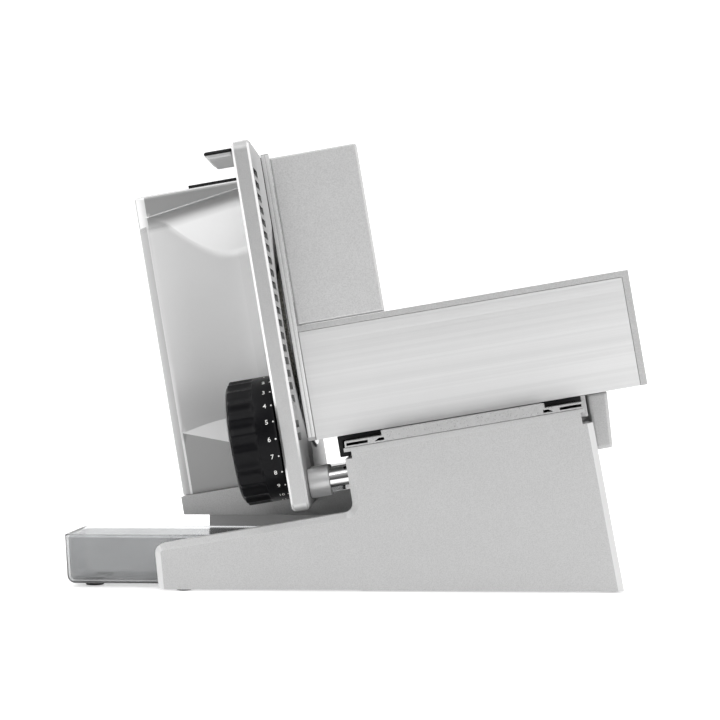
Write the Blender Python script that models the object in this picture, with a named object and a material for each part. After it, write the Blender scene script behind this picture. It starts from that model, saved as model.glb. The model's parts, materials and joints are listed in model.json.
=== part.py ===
"""Electric food slicer with a tilted blade, a sliding food carriage and a slice tray.

Everything is in metres with +Z up. The blade, the stop plate, the carriage and the motor
housing lean together, so they are drawn in a leaning frame: across (the way the blade's
axle points), depth (away from the user) and up (along the blade's face). Its origin is
where the blade's cutting face meets the carriage floor, and its depth is the same as the
base's depth, which is 0 at the front face of the base.
"""
import math

import bpy
import bmesh
from mathutils import Matrix, Vector

# Whole machine
LEAN_ANGLE = math.radians(9.6)
CUT_LINE_X = -0.0348
CUT_LINE_Z = 0.0976
FIT_GAP = 0.0003

# Base
BASE_DEPTH = 0.220
BASE_RIM_HEIGHT = 0.001
BASE_BOTTOM_RIGHT_X = 0.1737
BASE_WALL = 0.003
BASE_EDGE_ROUNDING = 0.004
BASE_TOP_UP = -0.0094
BASE_TOP_LEFT_ACROSS = 0.0256
BASE_TOP_RIGHT_ACROSS = 0.184
BASE_RIGHT_WALL_ACROSS = 0.188
BASE_RIGHT_NOTCH_HEIGHT = 0.0075
GROOVE_LIP = 0.0024
GROOVE_HEIGHT = 0.0046
GROOVE_DEPTH = 0.0048
LEG_TIP_X = -0.1318
LEG_FOOT_X = -0.1289
LEG_TIP_HEIGHT = 0.0295
LEG_ROOT_HEIGHT = 0.052
LEG_CORNER_RADIUS = 0.006
LEG_THICKNESS = 0.0132
REAR_LEG_THICKNESS = 0.015
BAY_HEIGHT = 0.043
DECK_FRONT = 0.082
DECK_TOP_UP = -0.0263
DECK_STEP = 0.0015

# Feet and the cover under the base
FOOT_RADIUS = 0.0052
FOOT_HEIGHT = 0.004
BOTTOM_COVER_THICKNESS = 0.002
BOTTOM_SCREW_INSET = 0.010
BOTTOM_BOSS_RADIUS = 0.0045
SCREW_HEAD_RADIUS = 0.0032
SCREW_HEAD_HEIGHT = 0.0016
SCREW_SHANK_RADIUS = 0.0015

# Rail under the carriage
RAIL_TOP_UP = -0.0019
RAIL_STEP_DROP = 0.0032
RAIL_LEFT_ACROSS = 0.0268
RAIL_RIGHT_ACROSS = 0.1838
RAIL_STEP_WIDTH = 0.0248
RAIL_END_MARGIN = 0.004
RAIL_WALL = 0.0011
RAIL_CHANNEL_WIDTH = 0.0142
RAIL_POCKET_START = 0.0197
RAIL_POCKET_WIDTH = 0.0064
RAIL_POCKET_SLANT = 0.0030
RAIL_SOLID_FRONT = 0.012

# Blade and its drive
BLADE_RADIUS = 0.085
BLADE_THICKNESS = 0.0014
BLADE_BEVEL_WIDTH = 0.007
BLADE_EDGE_THICKNESS = 0.0003
BLADE_CENTRE_DEPTH = 0.137
BLADE_CENTRE_UP = 0.078
GEAR_MODULE = 0.00125
BLADE_GEAR_TEETH = 72
PINION_TEETH = 12
BLADE_GEAR_WIDTH = 0.0055
GEAR_CLEARANCE = 0.0005
AXLE_RADIUS = 0.005
AXLE_FLANGE_RADIUS = 0.0085
AXLE_FLANGE_THICKNESS = 0.003
HUB_BUSH_WALL = 0.0015
HUB_RADIUS = 0.0105
LOCK_CAP_RADIUS = 0.022
LOCK_CAP_HEIGHT = 0.0012
CAP_SLOT_WIDTH = 0.0024
BLADE_SCREW_CIRCLE = 0.031
BLADE_SCREW_COUNT = 3
BLADE_SCREW_PHASE = 0.43
MOTOR_ANGLE = math.radians(60)
MOTOR_RADIUS = 0.026
MOTOR_LENGTH = 0.046
GEARBOX_RADIUS = 0.029
GEARBOX_LENGTH = 0.026
GEARBOX_EDGE = 0.001
MOTOR_EDGE = 0.002
MOTOR_SHAFT_RADIUS = 0.003

# Plate that carries the blade, and the housing behind it
DRIVE_PLATE_THICKNESS = 0.0114
DRIVE_PLATE_FACE_ACROSS = -0.0016
DRIVE_PLATE_WEB = 0.0035
DRIVE_DISC_RADIUS = 0.072
DRIVE_PLATE_FRONT = 0.095
DRIVE_PLATE_BACK = 0.227
DRIVE_FOOT_FRONT = 0.0895
DRIVE_FOOT_TOP_UP = -0.0125
DRIVE_PLATE_CORNER_RADIUS = 0.020
BLADE_POCKET_GAP = 0.0022
HOUSING_LEFT_ACROSS = -0.099
HOUSING_TOP_UP = 0.190
HOUSING_FRONT = 0.095
HOUSING_BACK = 0.223
HOUSING_WALL = 0.0028
HOUSING_CORNER_RADIUS = 0.008
SCOOP_DEPTH = 0.0222
SCOOP_RUN = 0.058
COVE_LIP = 0.004
COVE_LIP_RUN = 0.009
COVE_SLOPE = 0.45
BROW_DROP_LEFT = 0.0165
BROW_DROP_RIGHT = 0.0042
LEDGE_LEFT_UP = 0.0207
LEDGE_SLOPE = 0.368
LEDGE_RIGHT_UP = -0.008
HOUSING_ROW_GAP = 0.0006
HOUSING_FRONT_WALL_FACTOR = 1.2
PLANE_STEPS = 6
COVE_STEPS = 3
LIP_STEPS = 4
HOUSING_SCREW_INSET = 0.004
HOUSING_BOSS_RADIUS = 0.0045

# Switch on the housing
ROCKER_LENGTH = 0.036
ROCKER_DEPTH = 0.012
ROCKER_PROUD = 0.0054
ROCKER_CENTRE_ACROSS = -0.043
ROCKER_CENTRE_DEPTH = 0.1245
SWITCH_BODY_WALL = 0.0028
SWITCH_BODY_HEIGHT = 0.0085
SWITCH_POCKET_DEPTH = 0.0065
ROCKER_PIVOT_DROP = 0.003
ROCKER_KEEL = 0.002
ROCKER_PIN_RADIUS = 0.0012
ROCKER_PIN_REACH = 0.0018

# Stop plate
STOP_FACE_ACROSS = -0.003
STOP_THICKNESS = 0.0118
STOP_FRONT = 0.008
STOP_BACK = 0.092
STOP_TOP_UP = 0.2035
STOP_BOTTOM_UP = -0.045
STOP_LOWER_BACK = 0.078
STOP_ARC_GAP = 0.003
STOP_CORNER_RADIUS = 0.005
STOP_FRONT_TOP_RADIUS = 0.009
STOP_HEEL_DROP = 0.004
STOP_FOOT_SLOPE = 0.9
STOP_EDGE_ROUNDING = 0.003
STOP_SLOT_COUNT = 22
STOP_SLOT_PITCH = 0.0085
STOP_SLOT_HEIGHT = 0.0048
STOP_SLOT_DEPTH = 0.0018
STOP_SLOT_FRONT = 0.013
STOP_SLOT_LENGTH = 0.024
STOP_SLOT_TOP_UP = 0.184
GRIP_REACH = 0.019
GRIP_TOP_DROP = 0.0048
GRIP_HEIGHT = 0.0039
GRIP_PAD_THICKNESS = 0.0016
GRIP_FRONT = 0.012
GRIP_LENGTH = 0.046
GRIP_UNDERCUT = 0.0035
GRIP_EDGE = 0.001

# Guides and screw that move the stop plate
ROD_RADIUS = 0.008
ROD_UP = -0.0298
FRONT_ROD_DEPTH = 0.038
REAR_ROD_DEPTH = 0.066
COLLAR_RADIUS = 0.010
COLLAR_REACH = 0.0145
ROD_REACH = 0.078
ROD_BUSH_WALL = 0.002
ROD_BUSH_LENGTH = 0.006
SPINDLE_RADIUS = 0.004
SPINDLE_REACH = 0.116
NUT_RADIUS = 0.007
NUT_LENGTH = 0.010
BRACKET_LEFT_ACROSS = 0.058
BRACKET_LENGTH = 0.044
BRACKET_EAR = 0.004
BRACKET_MARGIN = 0.012

# Thickness dial
DIAL_RADIUS = 0.0425
DIAL_LENGTH = 0.0305
DIAL_DEPTH = 0.046
DIAL_UP = 0.0043
DIAL_GAP = 0.0012
DIAL_FLUTE_COUNT = 23
DIAL_FLUTE_DEPTH = 0.0016
DIAL_FLUTED_LENGTH = 0.0175
DIAL_WALL = 0.0035
DIAL_EDGE = 0.001
DIAL_RIM_THICKNESS = 0.0012
DIAL_HUB_RADIUS = 0.008
DIAL_GEAR_TEETH = 40
SPINDLE_GEAR_TEETH = 16
DIAL_GEAR_WIDTH = 0.0036
POCKET_DEPTH = 0.0068
GEAR_COVER_THICKNESS = 0.0014

# Food carriage
CARRIAGE_LEFT_ACROSS = 0.002
CARRIAGE_RIGHT_ACROSS = 0.2305
CARRIAGE_FRONT = 0.028
CARRIAGE_DEPTH = 0.132
CARRIAGE_WALL = 0.005
CARRIAGE_WALL_TOP_UP = 0.0758
CARRIAGE_FLOOR_UP = 0.0006
CARRIAGE_FLOOR_THICKNESS = 0.002
CARRIAGE_LIP_HEIGHT = 0.008
EDGE_STRIP_WIDTH = 0.0052
EDGE_STRIP_TOP_UP = 0.1935
PANEL_THICKNESS = 0.0008
PANEL_TOP_MARGIN = 0.004
PANEL_RIGHT_MARGIN = 0.0045
GUARD_WIDTH = 0.0592
GUARD_TOP_UP = 0.1905
GUARD_THICKNESS = 0.004
GUARD_BEVEL = 0.0012
GUARD_CORNER_RADIUS = 0.002
GLIDE_FLANGE = 0.003
GLIDE_MARGIN = 0.006
GLIDE_HOOK_REACH = 0.0042
GLIDE_HOOK_HEIGHT = 0.0028
PULL_LEFT_ACROSS = 0.1915
PULL_THICKNESS = 0.0115
PULL_DROP = 0.038
PULL_FRONT = 0.045
PULL_LENGTH = 0.078
PULL_FLARE = 0.0025
PULL_EDGE = 0.0015

# Slice tray
TRAY_LEFT_X = -0.1948
TRAY_RIGHT_X = -0.006
TRAY_FRONT = LEG_THICKNESS + FIT_GAP
TRAY_DEPTH = 0.069
TRAY_BOTTOM = 0.0022
TRAY_TOP = 0.0352
TRAY_WALL = 0.0022
TRAY_DRAFT = 0.0016
TRAY_CORNER_RADIUS = 0.008
TRAY_BOTTOM_RADIUS = 0.0055
TRAY_FOOT_RADIUS = 0.006
TRAY_FOOT_INSET = 0.018

# Cord gland
GLAND_RADIUS = 0.0065
GLAND_BORE_RADIUS = 0.0034
GLAND_LENGTH = 0.012
GLAND_X = 0.120
GLAND_Z = 0.028

ROUND_STEPS = 48
SMALL_ROUND_STEPS = 20
SCREW_STEPS = 12


def leaning(across, up):
    """Upright X and Z of a point that is given in the leaning frame."""
    x = CUT_LINE_X + across * math.cos(LEAN_ANGLE) - up * math.sin(LEAN_ANGLE)
    z = CUT_LINE_Z + across * math.sin(LEAN_ANGLE) + up * math.cos(LEAN_ANGLE)
    return (x, z)


def arc(centre, radius, start, end, steps):
    """Points along an arc from start to end degrees, ends included."""
    points = []
    for step in range(steps + 1):
        angle = math.radians(start + (end - start) * step / steps)
        points.append((centre[0] + radius * math.cos(angle), centre[1] + radius * math.sin(angle)))
    return points


def circle(centre, radius, steps):
    return arc(centre, radius, 0, 360, steps)[:-1]


def rounded(corners, steps=4):
    """An outline whose corners (a, b, radius) are replaced by arcs of that radius."""
    outline = []
    for index, (a, b, radius) in enumerate(corners):
        here = Vector((a, b))
        before = (Vector(corners[index - 1][:2]) - here).normalized()
        after = (Vector(corners[(index + 1) % len(corners)][:2]) - here).normalized()
        if radius <= 0:
            outline.append((a, b))
            continue
        half = before.angle(after) / 2
        centre = here + (before + after).normalized() * radius / math.sin(half)
        first = here + before * radius / math.tan(half) - centre
        last = here + after * radius / math.tan(half) - centre
        for step in range(steps + 1):
            mix = first.normalized().slerp(last.normalized(), step / steps) * radius
            outline.append(tuple(centre + mix))
    return outline


def inset(outline, distance):
    """The outline moved inward by a distance; it may turn either way round."""
    area = sum(a[0] * b[1] - b[0] * a[1] for a, b in zip(outline, outline[1:] + outline[:1]))
    side = 1 if area > 0 else -1
    moved = []
    for index, point in enumerate(outline):
        here = Vector(point)
        along_in = (here - Vector(outline[index - 1])).normalized()
        along_out = (Vector(outline[(index + 1) % len(outline)]) - here).normalized()
        normal_in = Vector((-along_in.y, along_in.x)) * side
        normal_out = Vector((-along_out.y, along_out.x)) * side
        shift = (normal_in + normal_out) / (1 + normal_in.dot(normal_out))
        moved.append(tuple(here + shift * distance))
    return moved


def finish_mesh(name, vertices, faces, flatten=False):
    """A mesh with its faces turned outward and its flat faces kept crisp."""
    mesh = bpy.data.meshes.new(name)
    shape = bmesh.new()
    corners = [shape.verts.new(vertex) for vertex in vertices]
    for face in faces:
        shape.faces.new([corners[index] for index in face])
    bmesh.ops.recalc_face_normals(shape, faces=shape.faces)
    if flatten:
        bmesh.ops.triangulate(shape, faces=shape.faces)
    shape.to_mesh(mesh)
    shape.free()
    mesh.shade_smooth()
    mesh.set_sharp_from_angle(angle=math.radians(30))
    return mesh


def stacked(name, rings, place):
    """A solid through rings of equal length, capped by its first and last ring."""
    count = len(rings[0][0])
    vertices = [place(point, level) for outline, level in rings for point in outline]
    faces = [list(range(count)), list(range((len(rings) - 1) * count, len(rings) * count))]
    for ring in range(len(rings) - 1):
        for index in range(count):
            after = (index + 1) % count
            base = ring * count
            faces.append([base + index, base + after, base + count + after, base + count + index])
    return finish_mesh(name, vertices, faces)


def extruded(name, outline, start, end, along, edge_start=0.0, edge_end=0.0):
    """An outline drawn square to an axis and extruded along it, with bevelled end edges."""
    places = {
        "X": lambda point, level: (level, point[0], point[1]),
        "Y": lambda point, level: (point[0], level, point[1]),
        "Z": lambda point, level: (point[0], point[1], level),
    }
    rings = []
    if edge_start > 0:
        rings.append((inset(outline, edge_start), start))
    rings.append((outline, start + edge_start))
    rings.append((outline, end - edge_end))
    if edge_end > 0:
        rings.append((inset(outline, edge_end), end))
    return stacked(name, rings, places[along])


def turned(name, profile, steps, along="X"):
    """A solid turned about an axis from (level, radius) points; radius 0 closes it."""
    vertices = []
    rows = []
    for level, radius in profile:
        row = []
        for step in range(steps if radius > 0 else 1):
            angle = 2 * math.pi * step / steps
            side = (radius * math.cos(angle), radius * math.sin(angle))
            vertex = (level, *side) if along == "X" else (*side, level)
            if along == "Y":
                vertex = (side[0], level, side[1])
            row.append(len(vertices))
            vertices.append(vertex)
        rows.append(row)
    faces = []
    closed = profile[0][1] > 0
    for index in range(len(rows) if closed else len(rows) - 1):
        low = rows[index]
        high = rows[(index + 1) % len(rows)]
        for step in range(steps):
            after = (step + 1) % steps
            corners = [low[step % len(low)], low[after % len(low)]]
            corners += [high[after % len(high)], high[step % len(high)]]
            faces.append(list(dict.fromkeys(corners)))
    return finish_mesh(name, vertices, faces)


def block(name, low, high):
    """A plain rectangular solid between two corners."""
    outline = [(low[0], low[1]), (high[0], low[1]), (high[0], high[1]), (low[0], high[1])]
    return extruded(name, outline, low[2], high[2], "Z")


def moved(mesh, offset):
    mesh.transform(Matrix.Translation(offset))
    return mesh


def combined(mesh, other, operation):
    """The mesh after an exact Boolean with another mesh, which is used up."""
    target = bpy.data.objects.new("target", mesh)
    tool = bpy.data.objects.new("tool", other)
    bpy.context.scene.collection.objects.link(target)
    bpy.context.scene.collection.objects.link(tool)
    boolean = target.modifiers.new("boolean", "BOOLEAN")
    boolean.operation = operation
    boolean.solver = "EXACT"
    boolean.object = tool
    bpy.context.view_layer.update()
    evaluated = target.evaluated_get(bpy.context.evaluated_depsgraph_get())
    result = bpy.data.meshes.new_from_object(evaluated)
    result.name = mesh.name
    bpy.data.objects.remove(target)
    bpy.data.objects.remove(tool)
    result.set_sharp_from_angle(angle=math.radians(30))
    return result


def cut(mesh, *tools):
    for tool in tools:
        mesh = combined(mesh, tool, "DIFFERENCE")
    return mesh


def joined(mesh, *others):
    for other in others:
        mesh = combined(mesh, other, "UNION")
    return mesh


def material(name, colour, roughness, metallic=0.0):
    """A Principled material, made once for each name."""
    found = bpy.data.materials.get(name)
    if found:
        return found
    made = bpy.data.materials.new(name)
    made.use_nodes = True
    shader = made.node_tree.nodes["Principled BSDF"]
    shader.inputs["Base Color"].default_value = (*colour, 1.0)
    shader.inputs["Roughness"].default_value = roughness
    shader.inputs["Metallic"].default_value = metallic
    return made


def silver_paint():
    return material("silver_paint", (0.56, 0.56, 0.57), 0.42, 0.55)


def brushed_steel():
    return material("brushed_steel", (0.66, 0.66, 0.66), 0.32, 1.0)


def chrome():
    return material("chrome", (0.86, 0.86, 0.87), 0.08, 1.0)


def aluminium():
    return material("aluminium", (0.60, 0.60, 0.61), 0.40, 1.0)


def brass():
    return material("brass", (0.63, 0.47, 0.20), 0.35, 1.0)


def black_plastic():
    return material("black_plastic", (0.022, 0.022, 0.024), 0.45)


def white_plastic():
    return material("white_plastic", (0.75, 0.74, 0.70), 0.40)


def smoky_plastic():
    return material("smoky_plastic", (0.28, 0.28, 0.29), 0.12)


def black_rubber():
    return material("black_rubber", (0.016, 0.016, 0.016), 0.75)


def add_part(name, mesh, finish, parent):
    """A named sub-part with its own mesh, finish and parent frame."""
    part = bpy.data.objects.new(name, mesh)
    bpy.context.scene.collection.objects.link(part)
    mesh.name = name
    mesh.materials.clear()
    mesh.materials.append(finish)
    part.parent = parent
    return part


def add_frame(name, parent, location=(0, 0, 0), lean=0.0):
    """An empty that carries sub-parts and sits on their joint's axis."""
    frame = bpy.data.objects.new(name, None)
    bpy.context.scene.collection.objects.link(frame)
    frame.location = location
    frame.rotation_euler = (0, -lean, 0)
    frame.parent = parent
    return frame


def up_at_height(across, height):
    """The leaning up value of a point at a given across value and real height."""
    return (height - CUT_LINE_Z - across * math.sin(LEAN_ANGLE)) / math.cos(LEAN_ANGLE)


def leaning_outline(points):
    return [leaning(across, up) for across, up in points]


BAY_CORNER_X = leaning(BASE_TOP_LEFT_ACROSS, up_at_height(BASE_TOP_LEFT_ACROSS, BAY_HEIGHT))[0]
BLOCK_LEFT_WALL = GROOVE_DEPTH + BASE_WALL
GROOVE_TOP_UP = BASE_TOP_UP - GROOVE_LIP
GROOVE_BOTTOM_UP = GROOVE_TOP_UP - GROOVE_HEIGHT
NOTCH_BOTTOM_UP = GROOVE_TOP_UP - BASE_RIGHT_NOTCH_HEIGHT
NOTCH_LEFT_ACROSS = BASE_TOP_RIGHT_ACROSS - BASE_WALL
DECK_LEFT_ACROSS = HOUSING_LEFT_ACROSS + DECK_STEP
DRIVE_PLATE_LEFT_ACROSS = DRIVE_PLATE_FACE_ACROSS - DRIVE_PLATE_THICKNESS
DRIVE_WEB_FACE_ACROSS = DRIVE_PLATE_LEFT_ACROSS + DRIVE_PLATE_WEB
HOUSING_RIGHT_ACROSS = DRIVE_PLATE_LEFT_ACROSS - FIT_GAP
PLATE_BOTTOM_UP = DECK_TOP_UP + FIT_GAP
STOP_LEFT_ACROSS = STOP_FACE_ACROSS - STOP_THICKNESS
POCKET_FLOOR_ACROSS = STOP_LEFT_ACROSS + POCKET_DEPTH
DIAL_RIGHT_ACROSS = STOP_LEFT_ACROSS - DIAL_GAP
DIAL_LEFT_ACROSS = DIAL_RIGHT_ACROSS - DIAL_LENGTH
DIAL_GEAR_RIGHT_ACROSS = POCKET_FLOOR_ACROSS - 2 * FIT_GAP
DIAL_GEAR_LEFT_ACROSS = DIAL_GEAR_RIGHT_ACROSS - DIAL_GEAR_WIDTH
DIAL_AXIS_GAP = math.hypot(DIAL_DEPTH - FRONT_ROD_DEPTH, DIAL_UP - ROD_UP)
DIAL_MODULE = 2 * DIAL_AXIS_GAP / (DIAL_GEAR_TEETH + SPINDLE_GEAR_TEETH)
DRIVE_AXIS_GAP = GEAR_MODULE * (BLADE_GEAR_TEETH + PINION_TEETH) / 2
MOTOR_DEPTH = BLADE_CENTRE_DEPTH + DRIVE_AXIS_GAP * math.cos(MOTOR_ANGLE)
MOTOR_UP = BLADE_CENTRE_UP + DRIVE_AXIS_GAP * math.sin(MOTOR_ANGLE)
GEAR_RIGHT_ACROSS = -BLADE_THICKNESS - FIT_GAP
GEAR_LEFT_ACROSS = GEAR_RIGHT_ACROSS - BLADE_GEAR_WIDTH
HUB_LEFT_ACROSS = DRIVE_WEB_FACE_ACROSS + FIT_GAP
CARRIAGE_FLOOR_BOTTOM_UP = CARRIAGE_FLOOR_UP - CARRIAGE_FLOOR_THICKNESS
HOUSING_SCREW_PLACES = [
    (HOUSING_BACK - HOUSING_WALL - HOUSING_SCREW_INSET,
     PLATE_BOTTOM_UP + HOUSING_WALL + HOUSING_SCREW_INSET),
    (HOUSING_BACK - HOUSING_WALL - HOUSING_SCREW_INSET,
     HOUSING_TOP_UP - HOUSING_WALL - HOUSING_SCREW_INSET),
]


def gear_outline(teeth, module, tooth_direction, flank_steps=3):
    """Involute gear outline about (0, 0) with one tooth pointing at an angle in radians."""
    pitch_radius = module * teeth / 2
    base_radius = pitch_radius * math.cos(math.radians(20))
    tip_radius = pitch_radius + module * 0.9
    root_radius = pitch_radius - module * 1.25
    half_tooth = math.pi / (2 * teeth) - GEAR_CLEARANCE / (2 * pitch_radius)

    def spread(radius):
        unwound = math.acos(min(1.0, base_radius / radius))
        return math.tan(unwound) - unwound

    flank = []
    low = max(base_radius, root_radius)
    for step in range(flank_steps + 1):
        radius = low + (tip_radius - low) * step / flank_steps
        flank.append((radius, half_tooth + spread(pitch_radius) - spread(radius)))
    if root_radius < base_radius:
        flank.insert(0, (root_radius, flank[0][1]))
    outline = []
    for tooth in range(teeth):
        middle = tooth_direction + 2 * math.pi * tooth / teeth
        sides = [(radius, middle - half) for radius, half in flank]
        sides += [(radius, middle + half) for radius, half in reversed(flank)]
        outline += [(radius * math.cos(turn), radius * math.sin(turn)) for radius, turn in sides]
    return outline


def cylinder(name, radius, start, end, centre=(0, 0), steps=SMALL_ROUND_STEPS, along="X", edge=0.0):
    """A solid cylinder between two levels of an axis, with bevelled end edges if asked."""
    return extruded(name, circle(centre, radius, steps), start, end, along, edge, edge)


def ring(name, outer, inner, start, end, steps=SMALL_ROUND_STEPS, along="X"):
    """A plain bush about the axis."""
    return turned(name, [(start, inner), (end, inner), (end, outer), (start, outer)], steps, along)


def below_rim(top, x):
    """The point where the edge from top to x at the rim reaches the cut below the rim."""
    drop = 1.5 * BASE_EDGE_ROUNDING
    return x + (x - top[0]) * drop / (top[1] - BASE_RIM_HEIGHT), BASE_RIM_HEIGHT - drop


def base_housing(parent):
    """The hollow base: block on the right, two legs on the left and a deck between them."""
    right_top = leaning(BASE_RIGHT_WALL_ACROSS, BASE_TOP_UP)
    block_corners = [
        (*below_rim(right_top, BASE_BOTTOM_RIGHT_X), 0),
        (*right_top, 0),
        (*leaning(BASE_TOP_LEFT_ACROSS, BASE_TOP_UP), 0),
    ]
    leg_root = leaning(BASE_TOP_LEFT_ACROSS, up_at_height(BASE_TOP_LEFT_ACROSS, LEG_ROOT_HEIGHT))
    leg_corners = [
        (*leg_root, LEG_CORNER_RADIUS),
        (LEG_TIP_X, LEG_TIP_HEIGHT, LEG_CORNER_RADIUS),
        (*below_rim((LEG_TIP_X, LEG_TIP_HEIGHT), LEG_FOOT_X), 0),
    ]
    bay_corners = [(BAY_CORNER_X, BAY_HEIGHT, 0),
                   (*below_rim((BAY_CORNER_X, BAY_HEIGHT), BAY_CORNER_X), 0)]
    front = extruded("front", rounded(block_corners + leg_corners), 0, LEG_THICKNESS, "Y",
                     edge_start=BASE_EDGE_ROUNDING)
    body = extruded("body", rounded(block_corners + bay_corners), LEG_THICKNESS / 2, BASE_DEPTH,
                    "Y", edge_end=BASE_EDGE_ROUNDING / 2)
    floor = block("floor", (2 * LEG_TIP_X, -BASE_WALL, -3 * BASE_EDGE_ROUNDING),
                  (2 * BASE_BOTTOM_RIGHT_X, BASE_DEPTH + BASE_WALL, BASE_RIM_HEIGHT))
    front = cut(front, floor)
    body = cut(body, floor)
    deck_bottom_up = up_at_height(DECK_LEFT_ACROSS, BAY_HEIGHT)
    deck_left = leaning(DECK_LEFT_ACROSS, deck_bottom_up)
    deck_inside = BASE_TOP_LEFT_ACROSS + BLOCK_LEFT_WALL / 2
    deck_outline = [
        deck_left,
        leaning(deck_inside, up_at_height(deck_inside, BAY_HEIGHT)),
        leaning(deck_inside, DECK_TOP_UP),
        leaning(DECK_LEFT_ACROSS, DECK_TOP_UP),
    ]
    deck = extruded("deck", deck_outline, DECK_FRONT, BASE_DEPTH - BASE_WALL / 2, "Y")
    rear_leg_outline = [
        (deck_left[0] + BASE_WALL / 2, BASE_RIM_HEIGHT),
        (BAY_CORNER_X + BASE_WALL, BASE_RIM_HEIGHT),
        (BAY_CORNER_X + BASE_WALL, BAY_HEIGHT + BASE_WALL / 2),
        (deck_left[0] + BASE_WALL / 2, BAY_HEIGHT + BASE_WALL / 2),
    ]
    rear_leg = extruded("rear_leg", rear_leg_outline,
                        BASE_DEPTH - BASE_WALL - REAR_LEG_THICKNESS, BASE_DEPTH - BASE_WALL, "Y")
    shell = joined(front, body, deck, rear_leg)
    cavity_left = BASE_TOP_LEFT_ACROSS + BLOCK_LEFT_WALL
    cavity_top = BASE_TOP_UP - BASE_WALL
    cavity_outline = leaning_outline([
        (cavity_left, cavity_top),
        (NOTCH_LEFT_ACROSS - BASE_WALL, cavity_top),
        (NOTCH_LEFT_ACROSS - BASE_WALL, NOTCH_BOTTOM_UP - BASE_WALL),
        (BASE_RIGHT_WALL_ACROSS - BASE_WALL, NOTCH_BOTTOM_UP - 2 * BASE_WALL),
    ])
    cavity_outline += [
        (BASE_BOTTOM_RIGHT_X - BASE_WALL, -BASE_WALL),
        (BAY_CORNER_X + BASE_WALL, -BASE_WALL),
        (BAY_CORNER_X + BASE_WALL, BAY_HEIGHT + BASE_WALL),
        leaning(cavity_left, up_at_height(cavity_left, BAY_HEIGHT + 2 * BASE_WALL)),
    ]
    cavity = extruded("cavity", cavity_outline, BASE_WALL + BASE_EDGE_ROUNDING / 2,
                      BASE_DEPTH - BASE_WALL, "Y")
    deck_cavity_outline = [
        (deck_left[0] + BASE_WALL, BAY_HEIGHT + BASE_WALL),
        (BAY_CORNER_X + 2 * BASE_WALL, BAY_HEIGHT + BASE_WALL),
        leaning(cavity_left + BASE_WALL, DECK_TOP_UP - BASE_WALL),
        leaning(DECK_LEFT_ACROSS + BASE_WALL, DECK_TOP_UP - BASE_WALL),
    ]
    deck_cavity = extruded("deck_cavity", deck_cavity_outline, DECK_FRONT + BASE_WALL,
                           BASE_DEPTH - 2 * BASE_WALL, "Y")
    past = BASE_WALL
    groove = leaning_outline([
        (BASE_TOP_LEFT_ACROSS - past, GROOVE_TOP_UP),
        (BASE_TOP_LEFT_ACROSS - past, GROOVE_BOTTOM_UP),
        (BASE_TOP_LEFT_ACROSS + GROOVE_DEPTH, GROOVE_BOTTOM_UP),
        (BASE_TOP_LEFT_ACROSS + GROOVE_DEPTH, GROOVE_TOP_UP),
    ])
    notch = leaning_outline([
        (NOTCH_LEFT_ACROSS, NOTCH_BOTTOM_UP),
        (BASE_RIGHT_WALL_ACROSS + past, NOTCH_BOTTOM_UP),
        (BASE_RIGHT_WALL_ACROSS + past, BASE_TOP_UP + past),
        (BASE_TOP_RIGHT_ACROSS, BASE_TOP_UP + past),
        (BASE_TOP_RIGHT_ACROSS, GROOVE_TOP_UP),
        (NOTCH_LEFT_ACROSS, GROOVE_TOP_UP),
    ])
    shell = cut(shell, extruded("groove", groove, -past, BASE_DEPTH + past, "Y"),
                extruded("notch", notch, -past, BASE_DEPTH + past, "Y"), cavity, deck_cavity)
    for x, y in bottom_screw_places():
        boss_bottom = cover_bottom() + BOTTOM_COVER_THICKNESS + FIT_GAP
        shell = joined(shell, cylinder("boss", BOTTOM_BOSS_RADIUS, boss_bottom, BAY_HEIGHT,
                                       (x, y), along="Z"))
        shell = cut(shell, cylinder("hole", SCREW_SHANK_RADIUS + FIT_GAP, boss_bottom - FIT_GAP,
                                    BAY_HEIGHT / 2, (x, y), SCREW_STEPS, "Z"))
    for name, (x, y) in foot_places().items():
        if name.endswith("right"):
            pad = cylinder("pad", FOOT_RADIUS + BASE_WALL, BASE_RIM_HEIGHT,
                           BASE_RIM_HEIGHT + FOOT_HEIGHT + BASE_WALL, (x, y), along="Z")
            shell = joined(shell, pad)
        shell = cut(shell, cylinder("seat", FOOT_RADIUS + FIT_GAP, -past, FOOT_HEIGHT + FIT_GAP,
                                    (x, y), along="Z"))
    shell = cut(shell, *rod_bush_holes())
    gland_hole = cylinder("gland_hole", GLAND_RADIUS + FIT_GAP, BASE_DEPTH - 3 * BASE_WALL,
                          BASE_DEPTH + past, (GLAND_X, GLAND_Z), along="Y")
    add_part("base_housing", cut(shell, gland_hole), silver_paint(), parent)


def rod_bush_holes():
    """The two bush seats through the base block's left wall, in the leaning frame."""
    seats = []
    for depth in (FRONT_ROD_DEPTH, REAR_ROD_DEPTH):
        seats.append(cylinder("bush_seat", ROD_RADIUS + ROD_BUSH_WALL + 2 * FIT_GAP,
                              BASE_TOP_LEFT_ACROSS - BASE_WALL,
                              BASE_TOP_LEFT_ACROSS + BLOCK_LEFT_WALL + BASE_WALL,
                              (depth, ROD_UP)))
        seats[-1].transform(Matrix.Translation((CUT_LINE_X, 0, CUT_LINE_Z))
                            @ Matrix.Rotation(-LEAN_ANGLE, 4, "Y"))
    return seats


def cover_bottom():
    return BASE_RIM_HEIGHT + SCREW_HEAD_HEIGHT + FIT_GAP


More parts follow.
